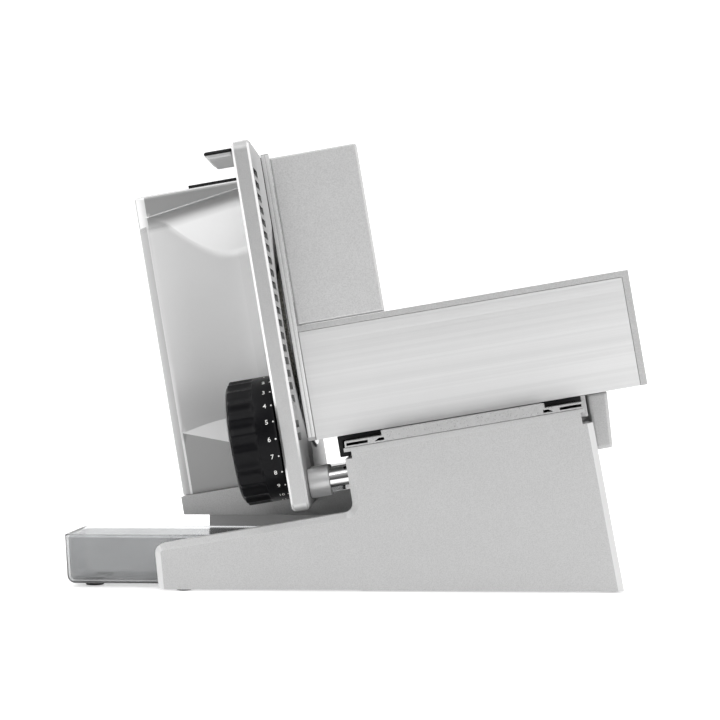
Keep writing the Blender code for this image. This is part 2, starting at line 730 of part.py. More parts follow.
def foot_places():
    """Foot name to its place under the base."""
    edge = FOOT_RADIUS + BASE_WALL
    inset_x = edge + BASE_WALL * 0.6
    left_rear_x = leaning(DECK_LEFT_ACROSS, DECK_TOP_UP)[0]
    return {
        "foot_front_left": (LEG_FOOT_X + 2 * edge, LEG_THICKNESS / 2),
        "foot_rear_left": (left_rear_x + 2 * edge,
                           BASE_DEPTH - BASE_WALL - REAR_LEG_THICKNESS / 2),
        "foot_front_right": (BASE_BOTTOM_RIGHT_X - inset_x, BASE_EDGE_ROUNDING + edge),
        "foot_rear_right": (BASE_BOTTOM_RIGHT_X - inset_x,
                            BASE_DEPTH - BASE_EDGE_ROUNDING / 2 - edge),
    }


def bottom_screw_places():
    left = BAY_CORNER_X + BASE_WALL + BOTTOM_SCREW_INSET
    right = BASE_BOTTOM_RIGHT_X - 3 * BOTTOM_SCREW_INSET
    front = BASE_WALL + BASE_EDGE_ROUNDING / 2 + BOTTOM_BOSS_RADIUS - FIT_GAP
    back = BASE_DEPTH - BASE_WALL - BOTTOM_BOSS_RADIUS + FIT_GAP
    return [(left, front), (right, front), (left, back), (right, back)]


def bottom_parts(parent):
    """The bottom cover, its screws and the rubber feet."""
    low = (BAY_CORNER_X + BASE_WALL + FIT_GAP, BASE_WALL + BASE_EDGE_ROUNDING / 2 + FIT_GAP,
           cover_bottom())
    slope = BASE_WALL * 0.8
    high = (BASE_BOTTOM_RIGHT_X - BASE_WALL - FIT_GAP - slope, BASE_DEPTH - BASE_WALL - FIT_GAP,
            cover_bottom() + BOTTOM_COVER_THICKNESS)
    cover = block("bottom_cover", low, high)
    for place in bottom_screw_places():
        cover = cut(cover, cylinder("hole", SCREW_SHANK_RADIUS + FIT_GAP, 0, FOOT_HEIGHT * 2,
                                    place, SCREW_STEPS, "Z"))
    for name, place in foot_places().items():
        if name.endswith("right"):
            relief = cylinder("relief", FOOT_RADIUS + BASE_WALL + FIT_GAP, -BASE_WALL,
                              FOOT_HEIGHT * 2, place, along="Z")
            cover = cut(cover, relief)
        foot = turned(name, [(0, 0), (0, FOOT_RADIUS * 0.85), (FOOT_HEIGHT * 0.15, FOOT_RADIUS),
                             (FOOT_HEIGHT, FOOT_RADIUS), (FOOT_HEIGHT, 0)],
                      SMALL_ROUND_STEPS, "Z")
        add_part(name, moved(foot, (*place, 0)), black_rubber(), parent)
    add_part("bottom_cover", cover, black_plastic(), parent)
    for number, place in enumerate(bottom_screw_places(), 1):
        head = cover_bottom() - FIT_GAP
        profile = [(head - SCREW_HEAD_HEIGHT, 0), (head - SCREW_HEAD_HEIGHT, SCREW_HEAD_RADIUS),
                   (head, SCREW_HEAD_RADIUS), (head, SCREW_SHANK_RADIUS),
                   (BAY_HEIGHT / 3, SCREW_SHANK_RADIUS), (BAY_HEIGHT / 3, 0)]
        screw = turned("screw", profile, SCREW_STEPS, "Z")
        add_part(f"bottom_screw_{number}", moved(screw, (*place, 0)), brushed_steel(), parent)


def cord_gland(parent):
    """The rubber inlet in the back wall of the base."""
    inside = BASE_DEPTH - BASE_WALL - GLAND_LENGTH / 4
    outside = BASE_DEPTH + FIT_GAP
    flange = GLAND_RADIUS + BASE_WALL
    profile = [(inside, GLAND_BORE_RADIUS), (outside + GLAND_LENGTH / 2, GLAND_BORE_RADIUS),
               (outside + GLAND_LENGTH / 2, GLAND_RADIUS), (outside + BASE_WALL, GLAND_RADIUS),
               (outside + BASE_WALL / 2, flange), (outside, flange), (outside, GLAND_RADIUS),
               (inside, GLAND_RADIUS)]
    gland = turned("cord_gland", profile, SMALL_ROUND_STEPS, "Y")
    add_part("cord_gland", moved(gland, (GLAND_X, 0, GLAND_Z)), black_rubber(), parent)


def carriage_rail(parent):
    """The extruded rail with stepped ends and hollow channels."""
    bottom = BASE_TOP_UP + FIT_GAP
    step = RAIL_TOP_UP - RAIL_STEP_DROP
    left_step = RAIL_LEFT_ACROSS + RAIL_STEP_WIDTH
    right_step = RAIL_RIGHT_ACROSS - RAIL_STEP_WIDTH
    outline = [(RAIL_LEFT_ACROSS, bottom), (RAIL_RIGHT_ACROSS, bottom), (RAIL_RIGHT_ACROSS, step),
               (right_step, step), (right_step, RAIL_TOP_UP), (left_step, RAIL_TOP_UP),
               (left_step, step), (RAIL_LEFT_ACROSS, step)]
    front = RAIL_END_MARGIN
    back = BASE_DEPTH - RAIL_END_MARGIN
    rail = extruded("carriage_rail", outline, front, back, "Y")
    wall = RAIL_WALL
    middle = 0.5 * (RAIL_LEFT_ACROSS + RAIL_RIGHT_ACROSS)
    reach = middle - RAIL_LEFT_ACROSS
    low = bottom + wall
    channel = [(reach - wall, low), (reach - wall, step - wall),
               (reach - wall - RAIL_CHANNEL_WIDTH, step - wall),
               (reach - wall - RAIL_CHANNEL_WIDTH, low)]
    pocket_left = reach - RAIL_POCKET_START
    pocket = [(pocket_left, low), (pocket_left - RAIL_POCKET_SLANT, step - wall),
              (pocket_left - RAIL_POCKET_WIDTH, step - wall),
              (pocket_left - RAIL_POCKET_WIDTH, low)]
    for side in (-1, 1):
        for hollow in (channel, pocket):
            outline = [(middle + side * across, up) for across, up in hollow]
            rail = cut(rail, extruded("hollow", outline, front - wall, back + wall, "Y"))
    core_left = RAIL_LEFT_ACROSS + RAIL_POCKET_START + RAIL_POCKET_WIDTH + wall
    core_right = RAIL_RIGHT_ACROSS - RAIL_POCKET_START - RAIL_POCKET_WIDTH - wall
    core_top = RAIL_TOP_UP - wall
    core = [(core_left, low), (core_right, low), (core_right, core_top), (core_left, core_top)]
    rail = cut(rail, extruded("core", core, front + RAIL_SOLID_FRONT, back + wall, "Y"))
    add_part("carriage_rail", rail, aluminium(), parent)


def drive_plate(parent):
    """The fixed plate behind the blade, with a round pocket and a disc that backs the blade."""
    outline = rounded([
        (DRIVE_FOOT_FRONT, PLATE_BOTTOM_UP, 0),
        (DRIVE_PLATE_BACK, PLATE_BOTTOM_UP, 0),
        (DRIVE_PLATE_BACK, HOUSING_TOP_UP - FIT_GAP, DRIVE_PLATE_CORNER_RADIUS),
        (DRIVE_PLATE_FRONT, HOUSING_TOP_UP - FIT_GAP, 0),
        (DRIVE_PLATE_FRONT, DRIVE_FOOT_TOP_UP, 0),
        (DRIVE_FOOT_FRONT, DRIVE_FOOT_TOP_UP, 0),
    ], 6)
    centre = (BLADE_CENTRE_DEPTH, BLADE_CENTRE_UP)
    plate = extruded("plate", outline, DRIVE_PLATE_LEFT_ACROSS, DRIVE_PLATE_FACE_ACROSS, "X")
    pocket = cylinder("pocket", BLADE_RADIUS + BLADE_POCKET_GAP, DRIVE_WEB_FACE_ACROSS,
                      BLADE_THICKNESS, centre, ROUND_STEPS)
    disc = cylinder("disc", DRIVE_DISC_RADIUS, DRIVE_PLATE_LEFT_ACROSS, DRIVE_WEB_FACE_ACROSS,
                    centre, ROUND_STEPS)
    plate = joined(cut(plate, pocket), disc)
    past = DRIVE_PLATE_THICKNESS
    axle_hole = cylinder("axle_hole", AXLE_RADIUS + FIT_GAP, DRIVE_PLATE_LEFT_ACROSS - past,
                         past, centre)
    pinion_hole = cylinder("pinion_hole", GEAR_MODULE * PINION_TEETH / 2 + 2 * GEAR_MODULE,
                           DRIVE_PLATE_LEFT_ACROSS - past, past, (MOTOR_DEPTH, MOTOR_UP))
    plate = cut(plate, axle_hole, pinion_hole)
    for place in HOUSING_SCREW_PLACES:
        plate = cut(plate, cylinder("hole", SCREW_SHANK_RADIUS + FIT_GAP,
                                    DRIVE_PLATE_LEFT_ACROSS - past, past, place, SCREW_STEPS))
        seat = DRIVE_PLATE_FACE_ACROSS - SCREW_HEAD_HEIGHT - FIT_GAP
        plate = cut(plate, cylinder("seat", SCREW_HEAD_RADIUS + FIT_GAP, seat, past, place))
    add_part("drive_plate", plate, silver_paint(), parent)
    for number, place in enumerate(HOUSING_SCREW_PLACES, 1):
        head = DRIVE_PLATE_FACE_ACROSS - SCREW_HEAD_HEIGHT
        tip = DRIVE_PLATE_LEFT_ACROSS - DRIVE_PLATE_THICKNESS
        profile = [(tip, 0), (tip, SCREW_SHANK_RADIUS), (head, SCREW_SHANK_RADIUS),
                   (head, SCREW_HEAD_RADIUS), (DRIVE_PLATE_FACE_ACROSS, SCREW_HEAD_RADIUS),
                   (DRIVE_PLATE_FACE_ACROSS, 0)]
        screw = moved(turned("screw", profile, SCREW_STEPS), (0, *place))
        add_part(f"housing_screw_{number}", screw, brushed_steel(), parent)


def brow_up(across):
    """Height of the edge over the housing's hollow."""
    share = (across - HOUSING_LEFT_ACROSS) / (HOUSING_RIGHT_ACROSS - HOUSING_LEFT_ACROSS)
    return HOUSING_TOP_UP - BROW_DROP_LEFT + (BROW_DROP_LEFT - BROW_DROP_RIGHT) * share


def ledge_up(across):
    """Height at which the housing's hollow begins."""
    return max(LEDGE_RIGHT_UP, LEDGE_LEFT_UP - LEDGE_SLOPE * (across - HOUSING_LEFT_ACROSS))


def plane_depth(across):
    """Depth of the hollow's slanting plane, which levels out to the right."""
    share = (across - HOUSING_LEFT_ACROSS - HOUSING_CORNER_RADIUS) / SCOOP_RUN
    return SCOOP_DEPTH * math.sin(math.pi / 2 * max(0.0, min(1.0, share)))


def scoop_depth(across, up):
    """Depth of the hollow: the slanting plane with a cove above it and a ledge below."""
    below_brow = max(0.0, brow_up(across) - up)
    turned = 1 - min(1.0, below_brow / COVE_LIP_RUN)
    cove = COVE_SLOPE * below_brow + COVE_LIP * (1 - turned ** 2)
    return min(plane_depth(across), cove, max(0.0, up - ledge_up(across)))


def housing_rows(across, bottom, top):
    """Heights of the housing's rows of points, close together where the hollow turns."""
    ledge = max(ledge_up(across), bottom + HOUSING_ROW_GAP)
    slope_top = ledge + max(plane_depth(across), HOUSING_ROW_GAP)
    lip_bottom = brow_up(across) - COVE_LIP_RUN
    crease = lip_bottom - max(HOUSING_ROW_GAP, (plane_depth(across) - COVE_LIP) / COVE_SLOPE
                              - COVE_LIP_RUN)
    rows = [bottom, ledge, 0.5 * (ledge + slope_top)]
    rows += even_steps(slope_top, crease, PLANE_STEPS)
    rows += even_steps(crease, lip_bottom, COVE_STEPS)
    rows += even_steps(lip_bottom, brow_up(across), LIP_STEPS)
    return rows + [brow_up(across), top - HOUSING_ROW_GAP, top]


def even_steps(low, high, count):
    """Evenly spaced values from low up to but without high."""
    return [low + (high - low) * step / count for step in range(count)]


def housing_solid(name, wall, right):
    """The housing's outer form, or its inner form when a wall is given."""
    left = HOUSING_LEFT_ACROSS + wall
    bottom = PLATE_BOTTOM_UP + wall
    top = HOUSING_TOP_UP - wall
    back = HOUSING_BACK - wall
    radius = HOUSING_CORNER_RADIUS - wall
    columns = [left + radius * (1 - math.cos(math.pi / 2 * step / 3)) for step in range(4)]
    columns += [left + radius + (right - left - radius) * step / 9 for step in range(1, 10)]
    vertices = []
    for across in columns:
        corner = max(0.0, radius - (across - left))
        rounding = radius - math.sqrt(max(0.0, radius ** 2 - corner ** 2))
        rows = housing_rows(across, bottom, top)
        for up in rows:
            scoop = max(scoop_depth(across, up + shift) for shift in (-wall, 0, wall))
            front = HOUSING_FRONT + wall * HOUSING_FRONT_WALL_FACTOR
            vertices.append((across, front + max(scoop, rounding), up))
    height = len(rows)
    faces = []
    for column in range(len(columns) - 1):
        for row in range(height - 1):
            start = column * height + row
            faces.append([start, start + height, start + height + 1, start + 1])
    border = [column * height for column in range(len(columns))]
    border += [(len(columns) - 1) * height + row for row in range(1, height)]
    border += [column * height + height - 1 for column in range(len(columns) - 2, -1, -1)]
    border += [row for row in range(height - 2, 0, -1)]
    first_back = len(vertices)
    for index in border:
        vertices.append((vertices[index][0], back, vertices[index][2]))
    for step in range(len(border)):
        after = (step + 1) % len(border)
        faces.append([border[step], border[after], first_back + after, first_back + step])
    faces.append([first_back + step for step in range(len(border))])
    return finish_mesh(name, vertices, faces, flatten=True)


def motor_housing(parent):
    """The shell over the motor, open towards the drive plate, with the switch's hole."""
    past = HOUSING_RIGHT_ACROSS + HOUSING_WALL
    inside = housing_solid("inside", HOUSING_WALL, past)
    for place in HOUSING_SCREW_PLACES:
        inside = cut(inside, cylinder("boss", HOUSING_BOSS_RADIUS, -GEARBOX_LENGTH - GEARBOX_RADIUS,
                                      past + HOUSING_WALL, place))
    shell = cut(housing_solid("shell", 0.0, HOUSING_RIGHT_ACROSS), inside)
    low = (ROCKER_CENTRE_ACROSS - ROCKER_LENGTH / 2 - 3 * FIT_GAP,
           ROCKER_CENTRE_DEPTH - ROCKER_DEPTH / 2 - FIT_GAP, HOUSING_TOP_UP - 2 * HOUSING_WALL)
    high = (ROCKER_CENTRE_ACROSS + ROCKER_LENGTH / 2 + 3 * FIT_GAP,
            ROCKER_CENTRE_DEPTH + ROCKER_DEPTH / 2 + FIT_GAP, HOUSING_TOP_UP + HOUSING_WALL)
    shell = cut(shell, block("switch_hole", low, high))
    for place in HOUSING_SCREW_PLACES:
        shell = cut(shell, cylinder("hole", SCREW_SHANK_RADIUS + FIT_GAP, -GEARBOX_LENGTH, past,
                                    place, SCREW_STEPS))
    add_part("motor_housing", shell, silver_paint(), parent)


def switch_parts(parent):
    """The rocker on its pivot, and the switch body under it."""
    pivot_up = HOUSING_TOP_UP - HOUSING_WALL - ROCKER_PIVOT_DROP
    half = ROCKER_LENGTH / 2
    outline = [(-half, HOUSING_TOP_UP + ROCKER_PROUD - pivot_up),
               (-half, 0), (0, -ROCKER_KEEL), (half, 0),
               (half, HOUSING_TOP_UP + ROCKER_PROUD - pivot_up)]
    rocker = extruded("rocker", outline, -ROCKER_DEPTH / 2, ROCKER_DEPTH / 2, "Y")
    pin_end = ROCKER_DEPTH / 2 + ROCKER_PIN_REACH
    pins = cylinder("pins", ROCKER_PIN_RADIUS, -pin_end, pin_end, steps=SCREW_STEPS, along="Y")
    axis = add_frame("rocker_axis", parent, (ROCKER_CENTRE_ACROSS, ROCKER_CENTRE_DEPTH, pivot_up))
    add_part("switch_rocker", joined(rocker, pins), black_plastic(), axis)
    clear = 5 * FIT_GAP
    top = HOUSING_TOP_UP - HOUSING_WALL - FIT_GAP
    side = SWITCH_BODY_WALL
    body = block("switch_body", (-half - side, -ROCKER_DEPTH / 2 - side,
                                 top - SWITCH_BODY_HEIGHT),
                 (half + side, ROCKER_DEPTH / 2 + side, top))
    pocket = block("pocket", (-half - clear, -ROCKER_DEPTH / 2 - FIT_GAP, top - SWITCH_POCKET_DEPTH),
                   (half + clear, ROCKER_DEPTH / 2 + FIT_GAP, top + HOUSING_WALL))
    pin_hole = cylinder("pin_hole", ROCKER_PIN_RADIUS + FIT_GAP, -pin_end - FIT_GAP,
                        pin_end + FIT_GAP, (0, pivot_up), SCREW_STEPS, "Y")
    body = moved(cut(body, pocket, pin_hole), (ROCKER_CENTRE_ACROSS, ROCKER_CENTRE_DEPTH, 0))
    add_part("switch_body", body, white_plastic(), parent)


def blade_parts(parent):
    """The blade with its gear, bush, centre cap and screws, on the blade's own axis."""
    axis = add_frame("blade_axis", parent, (0, BLADE_CENTRE_DEPTH, BLADE_CENTRE_UP))
    stem = AXLE_RADIUS + HUB_BUSH_WALL + 3 * FIT_GAP
    profile = [
        (-BLADE_THICKNESS, stem + FIT_GAP),
        (-BLADE_THICKNESS, BLADE_RADIUS - BLADE_BEVEL_WIDTH),
        (-BLADE_EDGE_THICKNESS, BLADE_RADIUS),
        (0, BLADE_RADIUS),
        (0, stem + FIT_GAP),
    ]
    blade = turned("blade", profile, 2 * ROUND_STEPS)
    gear = extruded("blade_gear", gear_outline(BLADE_GEAR_TEETH, GEAR_MODULE, MOTOR_ANGLE, 2),
                    GEAR_LEFT_ACROSS, GEAR_RIGHT_ACROSS, "X")
    gear = joined(gear, cylinder("hub", HUB_RADIUS, HUB_LEFT_ACROSS,
                                 GEAR_LEFT_ACROSS + FIT_GAP))
    bush_outer = AXLE_RADIUS + FIT_GAP + HUB_BUSH_WALL
    gear = cut(gear, cylinder("bore", bush_outer + FIT_GAP, HUB_LEFT_ACROSS * 2, BLADE_THICKNESS))
    cap = cylinder("cap", LOCK_CAP_RADIUS, FIT_GAP, FIT_GAP + LOCK_CAP_HEIGHT, steps=32,
                   edge=LOCK_CAP_HEIGHT / 3)
    cap = joined(cap, cylinder("stem", stem, -BLADE_THICKNESS, FIT_GAP * 2))
    slot = block("slot", (LOCK_CAP_HEIGHT * 0.7, -LOCK_CAP_RADIUS * 0.6, -CAP_SLOT_WIDTH / 2),
                 (LOCK_CAP_HEIGHT * 3, LOCK_CAP_RADIUS * 0.6, CAP_SLOT_WIDTH / 2))
    for number in range(BLADE_SCREW_COUNT):
        turn = 2 * math.pi * (number + BLADE_SCREW_PHASE) / BLADE_SCREW_COUNT
        place = (BLADE_SCREW_CIRCLE * math.cos(turn), BLADE_SCREW_CIRCLE * math.sin(turn))
        hole = (SCREW_SHANK_RADIUS + FIT_GAP, GEAR_LEFT_ACROSS * 0.7, BLADE_THICKNESS)
        blade = cut(blade, cylinder("hole", *hole, place, SCREW_STEPS))
        gear = cut(gear, cylinder("hole", *hole, place, SCREW_STEPS))
        top = FIT_GAP + LOCK_CAP_HEIGHT * 0.75
        screw = turned("screw", [(GEAR_LEFT_ACROSS * 0.6, 0),
                                 (GEAR_LEFT_ACROSS * 0.6, SCREW_SHANK_RADIUS),
                                 (FIT_GAP, SCREW_SHANK_RADIUS), (FIT_GAP, SCREW_HEAD_RADIUS),
                                 (top, SCREW_HEAD_RADIUS), (top, 0)], SCREW_STEPS)
        add_part(f"blade_screw_{number + 1}", moved(screw, (0, *place)), brushed_steel(), axis)
    add_part("blade", blade, brushed_steel(), axis)
    add_part("blade_gear", gear, white_plastic(), axis)
    add_part("blade_cap", cut(cap, slot), black_plastic(), axis)
    bush = ring("hub_bush", bush_outer, AXLE_RADIUS + FIT_GAP, HUB_LEFT_ACROSS,
                GEAR_RIGHT_ACROSS)
    add_part("hub_bush", bush, brass(), axis)


def drive_parts(parent):
    """The fixed axle, the gearbox, the motor and its turning pinion."""
    back = DRIVE_PLATE_LEFT_ACROSS - FIT_GAP
    left = back - AXLE_FLANGE_THICKNESS
    axle = turned("blade_axle", [(left, 0), (left, AXLE_FLANGE_RADIUS),
                                 (back, AXLE_FLANGE_RADIUS), (back, AXLE_RADIUS),
                                 (GEAR_RIGHT_ACROSS, AXLE_RADIUS), (GEAR_RIGHT_ACROSS, 0)],
                  SMALL_ROUND_STEPS)
    add_part("blade_axle", moved(axle, (0, BLADE_CENTRE_DEPTH, BLADE_CENTRE_UP)),
             brushed_steel(), parent)
    centre = (MOTOR_DEPTH, MOTOR_UP)
    case = cylinder("gearbox_case", GEARBOX_RADIUS, back - GEARBOX_LENGTH, back, centre, 32,
                    edge=GEARBOX_EDGE)
    shaft_left = back - GEARBOX_LENGTH * 0.6
    case = cut(case, cylinder("shaft_hole", MOTOR_SHAFT_RADIUS + FIT_GAP, shaft_left - FIT_GAP,
                              back + FIT_GAP, centre))
    add_part("gearbox_case", case, aluminium(), parent)
    motor_right = back - GEARBOX_LENGTH - FIT_GAP
    motor = cylinder("motor_can", MOTOR_RADIUS, motor_right - MOTOR_LENGTH, motor_right, centre,
                     32, edge=MOTOR_EDGE)
    add_part("motor_can", motor, brushed_steel(), parent)
    axis = add_frame("pinion_axis", parent, (0, MOTOR_DEPTH, MOTOR_UP))
    facing = MOTOR_ANGLE + math.pi + math.pi / PINION_TEETH
    pinion = extruded("pinion", gear_outline(PINION_TEETH, GEAR_MODULE, facing),
                      GEAR_LEFT_ACROSS, GEAR_RIGHT_ACROSS - FIT_GAP, "X")
    pinion = joined(pinion, cylinder("shaft", MOTOR_SHAFT_RADIUS, shaft_left,
                                     GEAR_LEFT_ACROSS + FIT_GAP))
    add_part("drive_pinion", pinion, brushed_steel(), axis)


def stop_outline():
    """Depth and up outline of the stop plate, hollowed round the blade."""
    radius = BLADE_RADIUS + STOP_ARC_GAP
    centre = (BLADE_CENTRE_DEPTH, BLADE_CENTRE_UP)
    half = math.degrees(math.acos((BLADE_CENTRE_DEPTH - STOP_BACK) / radius))
    hollow = arc(centre, radius, 180 + half, 180 - half, 18)
    foot_top = hollow[0][1] - (STOP_BACK - STOP_LOWER_BACK) * STOP_FOOT_SLOPE
    corners = rounded([
        (STOP_BACK, STOP_TOP_UP, STOP_CORNER_RADIUS),
        (STOP_FRONT, STOP_TOP_UP, STOP_FRONT_TOP_RADIUS),
        (STOP_FRONT, STOP_BOTTOM_UP, STOP_CORNER_RADIUS),
        (STOP_LOWER_BACK, STOP_BOTTOM_UP, STOP_CORNER_RADIUS),
        (STOP_LOWER_BACK, foot_top, 0),
        (STOP_BACK, hollow[0][1] - STOP_HEEL_DROP, 0),
        (STOP_BACK, STOP_TOP_UP / 2, 0),
    ])[:-1]
    return corners + hollow


def stop_parts(parent):
    """The stop plate with its guide rods, gear cover and grip; all of it slides."""
    plate = extruded("plate", stop_outline(), STOP_LEFT_ACROSS, STOP_FACE_ACROSS, "X",
                     STOP_EDGE_ROUNDING / 2, STOP_EDGE_ROUNDING / 2)
    dial_centre = (DIAL_DEPTH, DIAL_UP)
    tip = 0.9 * DIAL_MODULE + 2 * GEAR_CLEARANCE
    dial_pocket = DIAL_MODULE * DIAL_GEAR_TEETH / 2 + tip
    spindle_pocket = DIAL_MODULE * SPINDLE_GEAR_TEETH / 2 + tip
    front_rod = (FRONT_ROD_DEPTH, ROD_UP)
    past = STOP_LEFT_ACROSS - STOP_THICKNESS
    for end, centre in (("front", front_rod), ("rear", (REAR_ROD_DEPTH, ROD_UP))):
        plate = cut(plate, cylinder("bore", ROD_RADIUS + FIT_GAP, POCKET_FLOOR_ACROSS,
                                    STOP_FACE_ACROSS + COLLAR_REACH, centre, 24))
        collar = ring("collar", COLLAR_RADIUS, ROD_RADIUS + FIT_GAP, STOP_FACE_ACROSS + FIT_GAP,
                      STOP_FACE_ACROSS + COLLAR_REACH, 28)
        add_part(f"rod_collar_{end}", moved(collar, (0, *centre)), aluminium(), parent)
    plate = cut(plate, cylinder("dial_pocket", dial_pocket, past, POCKET_FLOOR_ACROSS,
                                dial_centre, 36),
                cylinder("spindle_pocket", spindle_pocket, past, POCKET_FLOOR_ACROSS, front_rod,
                         24))
    pivot_end = STOP_FACE_ACROSS - STOP_THICKNESS / 6
    plate = cut(plate, cylinder("pivot_hole", SPINDLE_RADIUS + FIT_GAP, past, pivot_end,
                                dial_centre))
    for number in range(STOP_SLOT_COUNT):
        low = STOP_SLOT_TOP_UP - number * STOP_SLOT_PITCH - STOP_SLOT_HEIGHT
        back = STOP_SLOT_FRONT + STOP_SLOT_LENGTH
        plate = cut(plate, block("slot", (STOP_FACE_ACROSS - STOP_SLOT_DEPTH, STOP_SLOT_FRONT, low),
                                 (STOP_THICKNESS, back, low + STOP_SLOT_HEIGHT)))
    add_part("stop_plate", plate, silver_paint(), parent)
    cover_left = STOP_LEFT_ACROSS + FIT_GAP
    cover_right = cover_left + GEAR_COVER_THICKNESS
    cover = joined(cylinder("cover", dial_pocket - FIT_GAP, cover_left, cover_right, dial_centre,
                            36),
                   cylinder("lobe", spindle_pocket - FIT_GAP, cover_left, cover_right, front_rod,
                            24))
    cover = cut(cover, cylinder("hub_hole", DIAL_HUB_RADIUS + 2 * FIT_GAP, past, 0, dial_centre))
    add_part("gear_cover", cover, aluminium(), parent)
    rod_left = POCKET_FLOOR_ACROSS + FIT_GAP
    tube = ring("guide_rod_front", ROD_RADIUS, SPINDLE_RADIUS + FIT_GAP, rod_left, ROD_REACH, 24)
    add_part("guide_rod_front", moved(tube, (0, *front_rod)), chrome(), parent)
    rear = cylinder("guide_rod_rear", ROD_RADIUS, rod_left, ROD_REACH,
                    (REAR_ROD_DEPTH, ROD_UP), 24)
    add_part("guide_rod_rear", rear, chrome(), parent)
    grip_right = STOP_LEFT_ACROSS - FIT_GAP
    grip_left = grip_right - GRIP_REACH
    grip_top = STOP_TOP_UP - GRIP_TOP_DROP
    pad_bottom = grip_top - GRIP_PAD_THICKNESS
    body = [(grip_right, pad_bottom - FIT_GAP), (grip_left, pad_bottom - FIT_GAP),
            (grip_left + GRIP_UNDERCUT, pad_bottom - GRIP_HEIGHT),
            (grip_right, pad_bottom - GRIP_HEIGHT)]
    add_part("stop_grip", extruded("grip", body, GRIP_FRONT, GRIP_FRONT + GRIP_LENGTH, "Y",
                                   GRIP_EDGE, GRIP_EDGE), silver_paint(), parent)
    pad = [(grip_right, grip_top), (grip_left + GRIP_EDGE, grip_top), (grip_left, pad_bottom),
           (grip_right, pad_bottom)]
    add_part("stop_grip_pad", extruded("pad", pad, GRIP_FRONT, GRIP_FRONT + GRIP_LENGTH, "Y"),
             black_rubber(), parent)


def dial_parts(parent):
    """The thickness dial with its rim and gear, on the dial's axis."""
    axis = add_frame("dial_axis", parent, (0, DIAL_DEPTH, DIAL_UP))
    per_flute = 4
    count = DIAL_FLUTE_COUNT * per_flute

    def dial_ring(depth, shrink):
        points = []
        for step in range(count):
            turn = 2 * math.pi * step / count
            dip = depth * (0.5 - 0.5 * math.cos(2 * math.pi * step / per_flute))
            radius = DIAL_RADIUS - shrink - dip
            points.append((radius * math.cos(turn), radius * math.sin(turn)))
        return points

    flute_end = DIAL_LEFT_ACROSS + DIAL_FLUTED_LENGTH
    rings = [(dial_ring(DIAL_FLUTE_DEPTH, DIAL_EDGE), DIAL_LEFT_ACROSS),
             (dial_ring(DIAL_FLUTE_DEPTH, 0), DIAL_LEFT_ACROSS + DIAL_EDGE),
             (dial_ring(DIAL_FLUTE_DEPTH, 0), flute_end - DIAL_FLUTE_DEPTH),
             (dial_ring(0, 0), flute_end), (dial_ring(0, 0), DIAL_RIGHT_ACROSS)]
    cup = stacked("cup", rings, lambda point, level: (level, point[0], point[1]))
    cup = cut(cup, cylinder("inside", DIAL_RADIUS - DIAL_WALL - DIAL_FLUTE_DEPTH / 2,
                            DIAL_LEFT_ACROSS + DIAL_WALL, 0, steps=36))
    cup = joined(cup, cylinder("hub", DIAL_HUB_RADIUS, DIAL_LEFT_ACROSS + DIAL_WALL / 2,
                               DIAL_GEAR_LEFT_ACROSS - FIT_GAP))
    add_part("thickness_dial", cup, black_plastic(), axis)
    rim = cylinder("rim", DIAL_RADIUS - 2 * DIAL_FLUTE_DEPTH,
                   DIAL_LEFT_ACROSS - FIT_GAP - DIAL_RIM_THICKNESS, DIAL_LEFT_ACROSS - FIT_GAP,
                   steps=ROUND_STEPS, edge=DIAL_RIM_THICKNESS / 3)
    add_part("dial_rim", rim, silver_paint(), axis)
    towards = math.atan2(ROD_UP - DIAL_UP, FRONT_ROD_DEPTH - DIAL_DEPTH)
    gear = extruded("dial_gear", gear_outline(DIAL_GEAR_TEETH, DIAL_MODULE, towards, 2),
                    DIAL_GEAR_LEFT_ACROSS, DIAL_GEAR_RIGHT_ACROSS, "X")
    pivot_tip = STOP_FACE_ACROSS - STOP_THICKNESS / 6 - FIT_GAP
    gear = joined(gear, cylinder("pivot", SPINDLE_RADIUS, DIAL_GEAR_RIGHT_ACROSS - FIT_GAP,
                                 pivot_tip))
    add_part("dial_gear", gear, white_plastic(), axis)
    spindle_axis = add_frame("spindle_axis", parent, (0, FRONT_ROD_DEPTH, ROD_UP))
    facing = towards + math.pi + math.pi / SPINDLE_GEAR_TEETH
    pinion = extruded("pinion", gear_outline(SPINDLE_GEAR_TEETH, DIAL_MODULE, facing),
                      DIAL_GEAR_LEFT_ACROSS, DIAL_GEAR_RIGHT_ACROSS, "X")
    pinion = joined(pinion, cylinder("shaft", SPINDLE_RADIUS, DIAL_GEAR_RIGHT_ACROSS - FIT_GAP,
                                     SPINDLE_REACH, edge=FIT_GAP))
    add_part("lead_spindle", pinion, brushed_steel(), spindle_axis)


